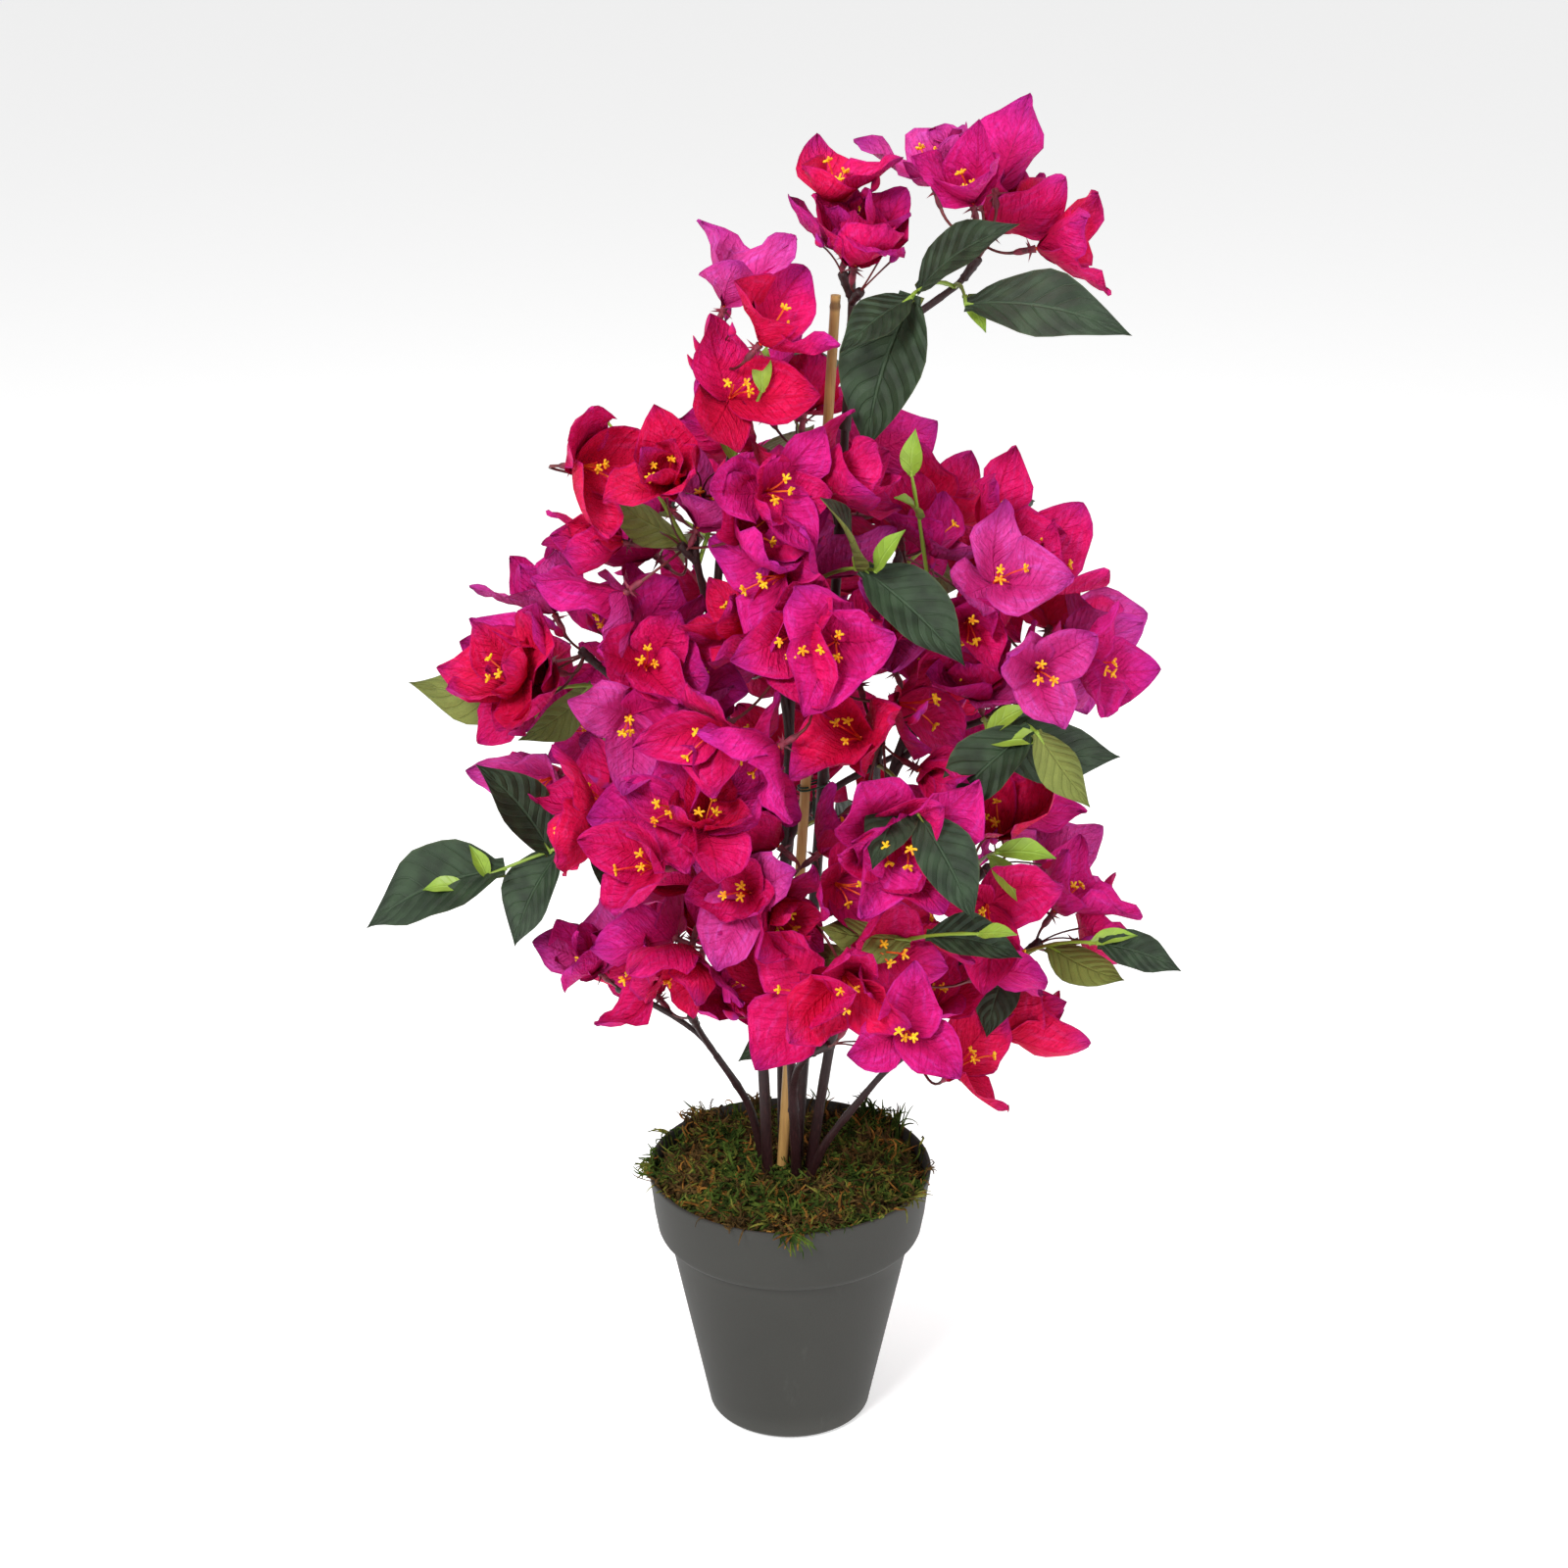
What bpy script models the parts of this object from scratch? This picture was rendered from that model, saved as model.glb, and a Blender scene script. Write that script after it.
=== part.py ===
"""Artificial bougainvillea in a plastic pot.

Metres, +Z up. The origin is the centre of the pot's flat underside, and the
plant's best side looks along -Y. Stems rise from the moss around a bamboo cane,
boughs leave them at stated heights, and each bough carries one mass of blossom:
stems with sockets, wires that end in three-bract flowers, and sprays of leaves.
"""
import math
import random

import bmesh
import bpy
from mathutils import Matrix, Vector
from mathutils.bvhtree import BVHTree

UP = Vector((0.0, 0.0, 1.0))
GAP = 0.0003                    # clearance between neighbouring solids
WELD = 0.00002                  # merge distance for the caps of a tube

# ---------------------------------------------------------------- pot and moss
RIM_Z = 0.159
RIM_R = 0.0825
COLLAR_FOOT_Z = 0.1175
COLLAR_FOOT_R = 0.0775
BODY_TOP_R = 0.0709
BASE_R = 0.0480
BASE_FILLET = 0.0035
FOOT_STEP = 0.0010              # the flat foot stands this far below the rounded edge
WALL = 0.0023
FLOOR = 0.0035
POT_STEPS = 32
MOSS_EDGE_Z = 0.1500
MOSS_TOP_Z = 0.1530
MOSS_FLAT_R = 0.026
MOSS_SWELL_R = 0.066
MOSS_SWELL_Z = 0.1540

# ----------------------------------------------------------------- cane and tie
GROUND_Z = MOSS_TOP_Z + GAP     # the flat cut under every stem
CANE_R = 0.0030
CANE_FOOT = (-0.0050, 0.0010)
CANE_TIP = (0.0235, 0.0010, 0.669)
CANE_NODE_EVERY = 0.128
CANE_NODE_SWELL = 1.18
TIE_Z = 0.394
TIE_WIRE_R = 0.0007

# -------------------------------------------------------------- flower and leaf
BRACT_LENGTH = 0.044
BRACT_SHOULDER = (0.40, 0.40, 0.05)     # place along a bract, half width, rise of the edge
BRACT_NECK = (0.74, 0.29, 0.02)         # the same nearer its tip, all over its length
BRACT_CURL = 0.05               # how far its tip bends back
BRACT_THICK = 0.0010
BRACT_OPENING = (49.0, 66.0)    # degrees from the flower's axis
BRACT_ZERO = Vector((0.23, 0.91, 0.35))     # bracts are counted round from this way
LEAF_WIDTH = 0.27
LEAF_THICK = 0.0012
LEAF_SINK = 0.0003
CALYX_LENGTH = 0.012
CALYX_R = 0.0021
WIRE_R = 0.0008                 # the wire that carries a flower
SPRAY_REACH = 0.040             # from a socket to the middle of its flowers
MASS_REACH = 0.066              # from a bough's tip to the middle of its mass
SOCKET_R = 0.0027
BOUGH_R = 0.0023                # a bough where it leaves its stem
STEM_R = 0.0019                 # a bough's tip, and the stems that grow on from it
FORK_LENGTH = 0.008             # from a mass's foot to where its stems part
SHOOT_R = 0.0011                # the green shoot that carries leaves
TRIES = 40                      # seeded tries to seat a flower clear of all else

# Stems: foot (x, y) on the moss, the points they pass, radius at foot and at tip.
STEMS = {
    "trunk": ((0.0035, 0.0045), [(0.0185, 0.0065, 0.40), (0.0270, 0.0060, 0.55),
                                 (0.0315, 0.0030, 0.655)], 0.0035, 0.0020),
    "stem_left": ((-0.0125, -0.0010), [(-0.018, -0.008, 0.28), (-0.030, -0.018, 0.40),
                                       (-0.039, -0.026, 0.505), (-0.030, -0.020, 0.600)],
                  0.0033, 0.0021),
    "stem_right": ((0.0115, 0.0005), [(0.026, -0.008, 0.26), (0.048, -0.014, 0.38),
                                      (0.076, -0.016, 0.475)], 0.0031, 0.0021),
    "stem_front": ((0.0040, -0.0055), [(0.000, -0.030, 0.25), (-0.004, -0.052, 0.31),
                                       (-0.006, -0.066, 0.345)], 0.0028, 0.0021),
    "stem_back": ((-0.0040, 0.0105), [(-0.005, 0.032, 0.28), (-0.001, 0.050, 0.38),
                                      (0.001, 0.062, 0.44)], 0.0031, 0.0021),
    "stem_low_left": ((-0.0150, 0.0085), [(-0.024, 0.004, 0.195), (-0.042, -0.012, 0.235)],
                      0.0026, 0.0020),
    "stem_low_right": ((0.0110, -0.0090), [(0.022, -0.020, 0.185), (0.044, -0.036, 0.225)],
                       0.0027, 0.0020),
}

# Masses: the limb that bears each, the height at which its bough leaves that limb
# (None: it grows on from the limb's tip), and its sprays as
# (middle of the flowers, radius over which they spread, number of flowers).
MASSES = {
    "top_right": ("trunk", 0.600, [((0.121, 0.020, 0.731), 0.021, 4),
                                   ((0.116, 0.012, 0.710), 0.008, 1)]),
    "crown_top": ("trunk", None, [((0.031, 0.000, 0.742), 0.008, 1),
                                  ((0.020, -0.002, 0.710), 0.010, 1),
                                  ((0.042, -0.022, 0.690), 0.006, 1)]),
    "top_left": ("stem_left", None, [((-0.040, -0.022, 0.681), 0.012, 2),
                                     ((-0.030, -0.034, 0.650), 0.006, 1)]),
    "upper_left": ("stem_left", 0.450, [((-0.044, -0.050, 0.616), 0.032, 4),
                                        ((-0.070, -0.044, 0.566), 0.030, 4)]),
    "upper_centre": ("trunk", 0.470, [((-0.002, -0.070, 0.570), 0.028, 3)]),
    "upper_right": ("stem_right", None, [((0.120, -0.022, 0.556), 0.032, 4),
                                         ((0.078, -0.040, 0.548), 0.030, 3)]),
    "right": ("stem_right", 0.400, [((0.158, -0.030, 0.506), 0.030, 4),
                                    ((0.128, -0.050, 0.468), 0.020, 2)]),
    "left": ("stem_left", 0.390, [((-0.142, -0.020, 0.508), 0.025, 4),
                                  ((-0.096, -0.034, 0.506), 0.028, 3)]),
    "centre": ("trunk", 0.400, [((-0.022, -0.088, 0.520), 0.032, 4),
                                ((0.028, -0.090, 0.504), 0.026, 2)]),
    "centre_right": ("stem_right", 0.345, [((0.050, -0.088, 0.484), 0.034, 4)]),
    "mid_left": ("stem_left", 0.330, [((-0.098, -0.066, 0.438), 0.032, 4),
                                      ((-0.056, -0.088, 0.458), 0.032, 4)]),
    "low_front": ("stem_front", None, [((-0.004, -0.112, 0.406), 0.034, 4),
                                       ((-0.058, -0.106, 0.378), 0.030, 3)]),
    "low_front_right": ("stem_front", 0.260, [((0.042, -0.112, 0.374), 0.034, 4)]),
    "low_right": ("stem_right", 0.240, [((0.164, -0.052, 0.342), 0.020, 2)]),
    "mid_right": ("stem_right", 0.290, [((0.132, -0.046, 0.388), 0.032, 4)]),
    "low_right_front": ("stem_low_right", None, [((0.092, -0.076, 0.294), 0.026, 3)]),
    "low_left": ("stem_low_left", None, [((-0.064, -0.064, 0.304), 0.026, 3),
                                         ((-0.122, -0.050, 0.316), 0.006, 1)]),
    "low_middle": ("stem_front", 0.205, [((-0.014, -0.098, 0.318), 0.010, 1),
                                         ((0.040, -0.086, 0.292), 0.010, 1)]),
    "back_top": ("trunk", 0.540, [((-0.008, 0.062, 0.606), 0.032, 4)]),
    "back_upper_left": ("stem_back", 0.390, [((-0.042, 0.080, 0.556), 0.036, 5)]),
    "back_upper_right": ("trunk", 0.440, [((0.076, 0.080, 0.540), 0.036, 5)]),
    "back_centre": ("stem_back", None, [((0.012, 0.116, 0.484), 0.036, 5)]),
    "back_left": ("stem_back", 0.300, [((-0.100, 0.074, 0.440), 0.036, 5)]),
    "back_right": ("stem_back", 0.330, [((0.098, 0.086, 0.428), 0.034, 5)]),
    "back_low": ("stem_back", 0.250, [((0.004, 0.130, 0.372), 0.036, 4)]),
    "back_low_left": ("stem_back", 0.215, [((-0.070, 0.090, 0.312), 0.028, 3)]),
    "back_low_right": ("trunk", 0.210, [((0.078, 0.088, 0.308), 0.028, 3)]),
}

# Leaf shoots of a mass: where the shoot ends, and its leaves as
# (place along the shoot, heading, rise, length, roll), angles in degrees;
# heading 0 points along +X and 90 along -Y. Roll 180 turns the pale underside up.
SHOOTS = {
    "top_right": [((0.060, -0.034, 0.676), [
        (0.80, 20, 40, 0.064, 0), (0.98, 146, -24, 0.048, 0), (0.90, 146, -68, 0.084, 0)]),
        ((0.090, -0.030, 0.672), [(0.98, 12, -4, 0.086, 0), (0.80, 30, -50, 0.022, 0)])],
    "upper_left": [((-0.096, -0.030, 0.612), [
        (0.15, 178, 30, 0.052, 180), (0.80, 185, 20, 0.020, 0), (0.98, 190, -12, 0.022, 0)]),
        ((-0.014, -0.034, 0.630), [(0.55, 150, 60, 0.028, 0), (0.98, 100, 78, 0.024, 0)])],
    "upper_centre": [((0.044, -0.094, 0.550), [
        (0.70, 116, 64, 0.062, 0), (0.80, 25, -34, 0.072, 0), (0.98, 30, 60, 0.028, 0)])],
    "upper_right": [((0.062, -0.050, 0.590), [(0.70, 120, 40, 0.030, 0),
                                              (0.98, 80, 75, 0.026, 0)])],
    "left": [((-0.142, -0.010, 0.452), [
        (0.85, 182, 0, 0.074, 180), (0.40, 200, -44, 0.056, 180), (0.98, 175, -6, 0.026, 0),
        (0.90, 150, -60, 0.020, 0)])],
    "mid_left": [((-0.178, -0.064, 0.362), [
        (0.80, 184, -22, 0.088, 0), (0.60, 158, 58, 0.066, 0), (0.55, 176, -62, 0.066, 0),
        (0.30, 100, -30, 0.040, 0), (0.88, 200, 62, 0.020, 0), (0.98, 185, -4, 0.024, 0)])],
    "right": [((0.102, -0.098, 0.458), [
        (0.70, 4, -2, 0.072, 70), (0.98, 10, 10, 0.032, 0), (0.85, 20, 44, 0.030, 0)]),
        ((0.127, -0.104, 0.466), [(0.90, 162, -40, 0.072, 0), (0.98, 15, -56, 0.048, 180)])],
    "centre_right": [((0.065, -0.132, 0.432), [
        (0.75, 115, -24, 0.050, 0), (0.98, 40, -50, 0.062, 0)])],
    "mid_right": [((0.108, -0.100, 0.398), [(0.98, 5, 0, 0.032, 0),
                                            (0.80, 20, -52, 0.032, 0)])],
    "low_front_right": [((0.098, -0.146, 0.372), [
        (0.62, 5, -8, 0.052, 0), (0.50, 160, 14, 0.054, 180), (0.15, 172, -6, 0.046, 180),
        (0.98, 40, 20, 0.024, 0)])],
    "low_right": [((0.166, -0.084, 0.338), [
        (0.05, 120, -50, 0.046, 0), (0.45, 40, -10, 0.052, 180), (0.98, 5, -14, 0.048, 0),
        (0.90, 0, 14, 0.026, 0)])],
    "low_middle": [((0.010, -0.128, 0.310), [(0.98, 170, -20, 0.042, 0)])],
    "back_top": [((0.000, 0.096, 0.585), [
        (0.60, 255, -30, 0.070, 0), (0.98, 285, 20, 0.074, 0), (0.80, 220, 10, 0.024, 0)])],
    "back_upper_left": [((-0.070, 0.110, 0.520), [
        (0.55, 255, -30, 0.070, 0), (0.98, 240, 4, 0.078, 0), (0.90, 190, 20, 0.022, 0)])],
    "back_upper_right": [((0.100, 0.120, 0.510), [
        (0.55, 280, -40, 0.070, 0), (0.98, 310, 4, 0.078, 0), (0.90, 350, 40, 0.022, 0)])],
    "back_centre": [((0.040, 0.140, 0.440), [
        (0.60, 240, -50, 0.066, 0), (0.98, 290, -10, 0.078, 0)])],
    "back_left": [((-0.120, 0.100, 0.400), [
        (0.60, 260, -40, 0.070, 0), (0.98, 230, -14, 0.078, 0), (0.85, 200, 40, 0.022, 0)])],
    "back_right": [((0.130, 0.110, 0.384), [
        (0.60, 280, -50, 0.066, 0), (0.98, 310, -6, 0.070, 0), (0.85, 350, 40, 0.022, 0)])],
    "back_low": [((0.030, 0.140, 0.318), [
        (0.60, 230, -30, 0.070, 0), (0.98, 300, -24, 0.076, 0)])],
}


# --------------------------------------------------------------------- scene
def clear_scene():
    for obj in list(bpy.data.objects):
        bpy.data.objects.remove(obj, do_unlink=True)


def new_collection(name):
    made = bpy.data.collections.new(name)
    bpy.context.scene.collection.children.link(made)
    return made


def material(name, colour, roughness, metallic=0.0):
    mat = bpy.data.materials.new(name)
    mat.use_nodes = True
    shader = mat.node_tree.nodes["Principled BSDF"]
    shader.inputs["Base Color"].default_value = (*colour, 1.0)
    shader.inputs["Roughness"].default_value = roughness
    shader.inputs["Metallic"].default_value = metallic
    return mat


clear_scene()
PLANT = new_collection("bougainvillea_in_pot")
CUTTERS = new_collection("cutters")
POT_GREY = material("pot_grey", (0.075, 0.083, 0.080), 0.50)
MOSS_GREEN = material("moss_green", (0.080, 0.110, 0.022), 0.95)
CANE_TAN = material("cane_tan", (0.510, 0.300, 0.090), 0.55)
TIE_GREEN = material("tie_green", (0.010, 0.060, 0.025), 0.45)
STEM_MAROON = material("stem_maroon", (0.035, 0.010, 0.012), 0.45)
BRACT_MAGENTA = material("bract_magenta", (0.640, 0.014, 0.160), 0.70)


def place(name, mesh, mat, collection=PLANT):
    obj = bpy.data.objects.new(name, mesh)
    mesh.materials.clear()
    mesh.materials.append(mat)
    collection.objects.link(obj)
    return obj


# --------------------------------------------------------------- shape helpers
def bezier(start, bend, end, count):
    """count points along the quadratic curve from start to end."""
    steps = [i / (count - 1) for i in range(count)]
    return [start * (1 - t) ** 2 + bend * 2 * t * (1 - t) + end * t * t for t in steps]


def smooth_route(points, per_span):
    """A smooth run through the points, per_span steps between each two."""
    ends = [points[0] * 2 - points[1]] + points + [points[-1] * 2 - points[-2]]
    route = []
    for a, b, c, d in zip(ends, ends[1:], ends[2:], ends[3:]):
        for i in range(per_span):
            t = i / per_span
            route.append(0.5 * (b * 2 + (c - a) * t + (a * 2 - b * 5 + c * 4 - d) * t ** 2
                                + (b * 3 - a - c * 3 + d) * t ** 3))
    return route + [points[-1]]


def tapered(first, last, count):
    return [first + (last - first) * i / (count - 1) for i in range(count)]


def tube_mesh(points, radii, sides=6, cyclic=False):
    """A closed tube along the points, from a curve with a round bevel."""
    curve = bpy.data.curves.new("tube", "CURVE")
    curve.dimensions = "3D"
    curve.bevel_depth = 1.0
    curve.bevel_resolution = (sides - 4) // 2
    curve.use_fill_caps = not cyclic
    spline = curve.splines.new("POLY")
    spline.points.add(len(points) - 1)
    spline.use_cyclic_u = cyclic
    for knot, point, radius in zip(spline.points, points, radii):
        knot.co = (*point, 1.0)
        knot.radius = radius
    guide = bpy.data.objects.new("tube", curve)
    bpy.context.scene.collection.objects.link(guide)
    graph = bpy.context.evaluated_depsgraph_get()
    mesh = bpy.data.meshes.new_from_object(guide.evaluated_get(graph))
    bpy.data.objects.remove(guide)
    bpy.data.curves.remove(curve)
    welded = bmesh.new()
    welded.from_mesh(mesh)
    bmesh.ops.remove_doubles(welded, verts=welded.verts, dist=WELD)
    bmesh.ops.triangulate(welded, faces=[f for f in welded.faces if len(f.verts) > 4])
    welded.to_mesh(mesh)
    welded.free()
    return mesh


def turned(name, profile, mat):
    """A body turned from a profile of (radius, height) that starts and ends on the axis."""
    mesh = bpy.data.meshes.new(name)
    edges = [(i, i + 1) for i in range(len(profile) - 1)]
    mesh.from_pydata([(r, 0.0, z) for r, z in profile], edges, [])
    obj = place(name, mesh, mat)
    screw = obj.modifiers.new("turn", "SCREW")
    screw.steps = POT_STEPS
    screw.render_steps = POT_STEPS
    screw.use_merge_vertices = True
    screw.merge_threshold = 0.00005
    return obj


def mesh_of(shape, name):
    """Ends the editing of a shape and gives it as a mesh."""
    mesh = bpy.data.meshes.new(name)
    shape.to_mesh(mesh)
    shape.free()
    return mesh


def square_to(axis, hint):
    """The unit vector nearest hint that is square to axis."""
    return (hint - axis * hint.dot(axis)).normalized()


def grown(points, radii, sides, side):
    """A tapering twig drawn out joint by joint, and the face that it started from.

    side is where the corners of its first joint are counted from.
    """
    steps = [(b - a).normalized() for a, b in zip(points, points[1:])]
    aims = [steps[0]] + [(a + b).normalized() for a, b in zip(steps, steps[1:])] + [steps[-1]]
    side = square_to(aims[0], side)
    frame = Matrix((side, aims[0].cross(side), aims[0])).transposed().to_4x4()
    frame.translation = points[0]
    twig = bmesh.new()
    bmesh.ops.create_cone(twig, cap_ends=True, segments=sides, radius1=radii[0],
                          radius2=radii[0], depth=0.0, matrix=frame)
    caps = [f for f in twig.faces if f.calc_area() > radii[0] ** 2]
    for face in caps:
        face.normal_update()
    first, end = sorted(caps, key=lambda f: f.normal.dot(aims[0]))
    for k in range(1, len(points)):
        if k > 1:
            end = bmesh.ops.extrude_discrete_faces(twig, faces=[end])["faces"][0]
        turn = aims[k - 1].rotation_difference(aims[k])
        for vert in end.verts:
            offset = turn @ (vert.co - points[k - 1])
            vert.co = points[k] + offset * (radii[k] / radii[k - 1])
    return twig, first


def twig_mesh(points, radii, sides=3):
    return mesh_of(grown(points, radii, sides, Vector((0.31, 0.17, 0.93)))[0], "twig")


def leaf_blade(root, along, face, length, half_width, thick):
    """A thin pointed blade: a flattened ball drawn out to the leaf's outline."""
    across = along.cross(face).normalized()
    blade = bmesh.new()
    bmesh.ops.create_uvsphere(blade, u_segments=len(LEAF_OUTLINE), v_segments=2, radius=1.0)
    ring = [v for v in blade.verts if abs(v.co.z) < 0.5]
    ring.sort(key=lambda v: math.atan2(v.co.y, v.co.x) % math.tau)
    for vert in blade.verts:
        if abs(vert.co.z) > 0.5:
            vert.co = root + along * (0.45 * length) + face * math.copysign(thick / 2, vert.co.z)
    for vert, (s, t, lift) in zip(ring, LEAF_OUTLINE):
        vert.co = (root + along * (s * length) + across * (t * half_width * length)
                   + face * (lift * length))
    return mesh_of(blade, "blade")


# A leaf's outline: place along its length, share of the half width, lift of the edge.
LEAF_OUTLINE = [(0.0, 0.0, 0.0), (0.30, 1.0, 0.05), (0.66, 0.82, 0.03),
                (1.0, 0.0, -0.10), (0.66, -0.82, 0.03), (0.30, -1.0, 0.05)]


# -------------------------------------------------------------- pot and its fill
def make_pot():
    inner_ledge = BODY_TOP_R - WALL
    inner_foot = BASE_R - WALL + FLOOR * (BODY_TOP_R - BASE_R) / COLLAR_FOOT_Z
    fillet = [(BASE_R - BASE_FILLET * (1 - math.cos(a)),
               FOOT_STEP + BASE_FILLET * (1 - math.sin(a)))
              for a in (math.radians(d) for d in (0, 30, 60, 90))]
    foot = [(BASE_R - BASE_FILLET - FOOT_STEP * 0.2, 0.0), (0.0, 0.0)]
    profile = [(0.0, FLOOR), (inner_foot, FLOOR), (inner_ledge, COLLAR_FOOT_Z),
               (COLLAR_FOOT_R - WALL, COLLAR_FOOT_Z + WALL), (RIM_R - WALL, RIM_Z - 0.0008),
               (RIM_R - WALL + 0.0008, RIM_Z), (RIM_R - 0.0008, RIM_Z), (RIM_R, RIM_Z - 0.0008),
               (COLLAR_FOOT_R, COLLAR_FOOT_Z + 0.0015), (COLLAR_FOOT_R - 0.0012, COLLAR_FOOT_Z),
               (BODY_TOP_R, COLLAR_FOOT_Z - 0.001)]
    turned("pot", profile + fillet + foot, POT_GREY)


def make_moss():
    """The filling with its mossy top, 0.3 mm clear of the pot all round."""
    foot = BASE_R - WALL - GAP + FLOOR * (BODY_TOP_R - BASE_R) / COLLAR_FOOT_Z
    edge = RIM_R - WALL - GAP - 0.0008
    profile = [(0.0, MOSS_TOP_Z), (MOSS_FLAT_R, MOSS_TOP_Z), (MOSS_SWELL_R, MOSS_SWELL_Z),
               (edge - 0.001, MOSS_EDGE_Z), (COLLAR_FOOT_R - WALL - GAP, COLLAR_FOOT_Z + WALL + GAP),
               (BODY_TOP_R - WALL - GAP, COLLAR_FOOT_Z + GAP),
               (foot, FLOOR + GAP), (0.0, FLOOR + GAP)]
    turned("moss_bed", profile, MOSS_GREEN)


def make_cane():
    foot = Vector((*CANE_FOOT, GROUND_Z))
    tip = Vector(CANE_TIP)
    length = (tip - foot).length
    places = [0.0, 1.0]
    for n in range(1, int(length / CANE_NODE_EVERY) + 1):
        middle = n * CANE_NODE_EVERY / length
        places += [middle - 0.006, middle, middle + 0.006]
    places.sort()
    swollen = [CANE_NODE_SWELL if i % 3 == 2 else 1.0 for i in range(len(places))]
    radii = [CANE_R * swell * (1.0 - 0.12 * t) for swell, t in zip(swollen, places)]
    points = [foot.lerp(tip, t) for t in places]
    place("bamboo_cane", tube_mesh(points, radii), CANE_TAN)
    return points, radii


def make_tie(cane, trunk):
    """A wire loop round the cane and the trunk, clear of both."""
    one, other = (min(route, key=lambda p: abs(p.z - TIE_Z)) for route in (cane, trunk))
    one = Vector((one.x, one.y, TIE_Z))
    other = Vector((other.x, other.y, TIE_Z))
    heading = math.atan2(other.y - one.y, other.x - one.x)
    clear = CANE_R + TIE_WIRE_R + 2 * GAP
    loop = []
    for middle, turn in ((other, -90), (one, 90)):
        for step in range(0, 181, 30):
            angle = heading + math.radians(turn + step)
            loop.append(middle + Vector((math.cos(angle), math.sin(angle), 0.0)) * clear)
    place("wire_tie", tube_mesh(loop, [TIE_WIRE_R] * len(loop), sides=4, cyclic=True), TIE_GREEN)


# --------------------------------------------------------------------- limbs
def at_height(route, z):
    """The point of a rising route at this height, and its direction there."""
    for a, b in zip(route, route[1:]):
        if a.z <= z <= b.z:
            return a.lerp(b, (z - a.z) / (b.z - a.z)), (b - a).normalized()
    return route[-1], (route[-1] - route[-2]).normalized()


def cut_clear(mesh, cutter_mesh):
    """mesh with what lies inside the cutter taken away."""
    body = place("cut_body", mesh, STEM_MAROON, CUTTERS)
    cutter = place("cutter", cutter_mesh, STEM_MAROON, CUTTERS)
    cut = body.modifiers.new("cut", "BOOLEAN")
    cut.operation = "DIFFERENCE"
    cut.object = cutter
    graph = bpy.context.evaluated_depsgraph_get()
    done = bpy.data.meshes.new_from_object(body.evaluated_get(graph))
    for obj in (body, cutter):
        bpy.data.objects.remove(obj)
    return largest_island(done)


def largest_island(mesh):
    """Keeps the outer shell of the biggest body: no scraps and no sealed hollows."""
    found = bmesh.new()
    found.from_mesh(mesh)
    bmesh.ops.triangulate(found, faces=found.faces)
    islands = []
    left = set(found.faces)
    while left:
        island = []
        front = [left.pop()]
        while front:
            face = front.pop()
            island.append(face)
            for edge in face.edges:
                for other in edge.link_faces:
                    if other in left:
                        left.remove(other)
                        front.append(other)
        islands.append(island)
    islands.sort(key=len)
    bmesh.ops.delete(found, geom=[f for part in islands[:-1] for f in part], context="FACES")
    found.to_mesh(mesh)
    found.free()
    return mesh


LIMBS = {}                      # name: (route, radii), also what boughs and masses keep clear of


def make_stems():
    for name, (foot, points, r_foot, r_tip) in STEMS.items():
        knots = [Vector((*foot, GROUND_Z))] + [Vector(p) for p in points]
        route = smooth_route(knots, 2)
        route[0].z = GROUND_Z
        radii = tapered(r_foot, r_tip, len(route))
        LIMBS[name] = (route, radii)
        place(name, flat_foot(tube_mesh(route, radii)), STEM_MAROON)


def flat_foot(mesh):
    """Cuts the foot of a leaning tube level with the moss."""
    foot = bmesh.new()
    foot.from_mesh(mesh)
    lowest = sorted(foot.verts, key=lambda v: v.co.z)[:6]
    for vert in lowest:
        vert.co.z = GROUND_Z
    foot.to_mesh(mesh)
    foot.free()
    return mesh


def middle_of(sprays):
    return sum((Vector(spray[0]) for spray in sprays), Vector()) / len(sprays)


def bough_route(parent, height, target):
    """From inside the parent, up along it and over towards the mass."""
    start, rising = at_height(LIMBS[parent][0], height)
    tip = target + (start - target).normalized() * MASS_REACH
    span = (tip - start).length
    bend = start + (rising * 0.6 + UP * 0.2).normalized() * span * 0.45
    return bezier(start, bend, tip, 5)


def make_boughs():
    for mass, (parent, height, sprays) in MASSES.items():
        if height is None:
            continue
        route = bough_route(parent, height, middle_of(sprays))
        radii = tapered(BOUGH_R, STEM_R, len(route))
        parent_route, parent_radii = LIMBS[parent]
        collar = tube_mesh(parent_route, [r + GAP for r in parent_radii])
        LIMBS["bough_" + mass] = (route, radii)
        place("bough_" + mass, cut_clear(tube_mesh(route, radii), collar), STEM_MAROON)


# --------------------------------------------------------------------- masses
def heading_vector(heading, rise):
    """Heading 0 points along +X and 90 along -Y."""
    turn, lift = math.radians(heading), math.radians(rise)
    return Vector((math.cos(turn) * math.cos(lift), -math.sin(turn) * math.cos(lift), math.sin(lift)))


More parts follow.
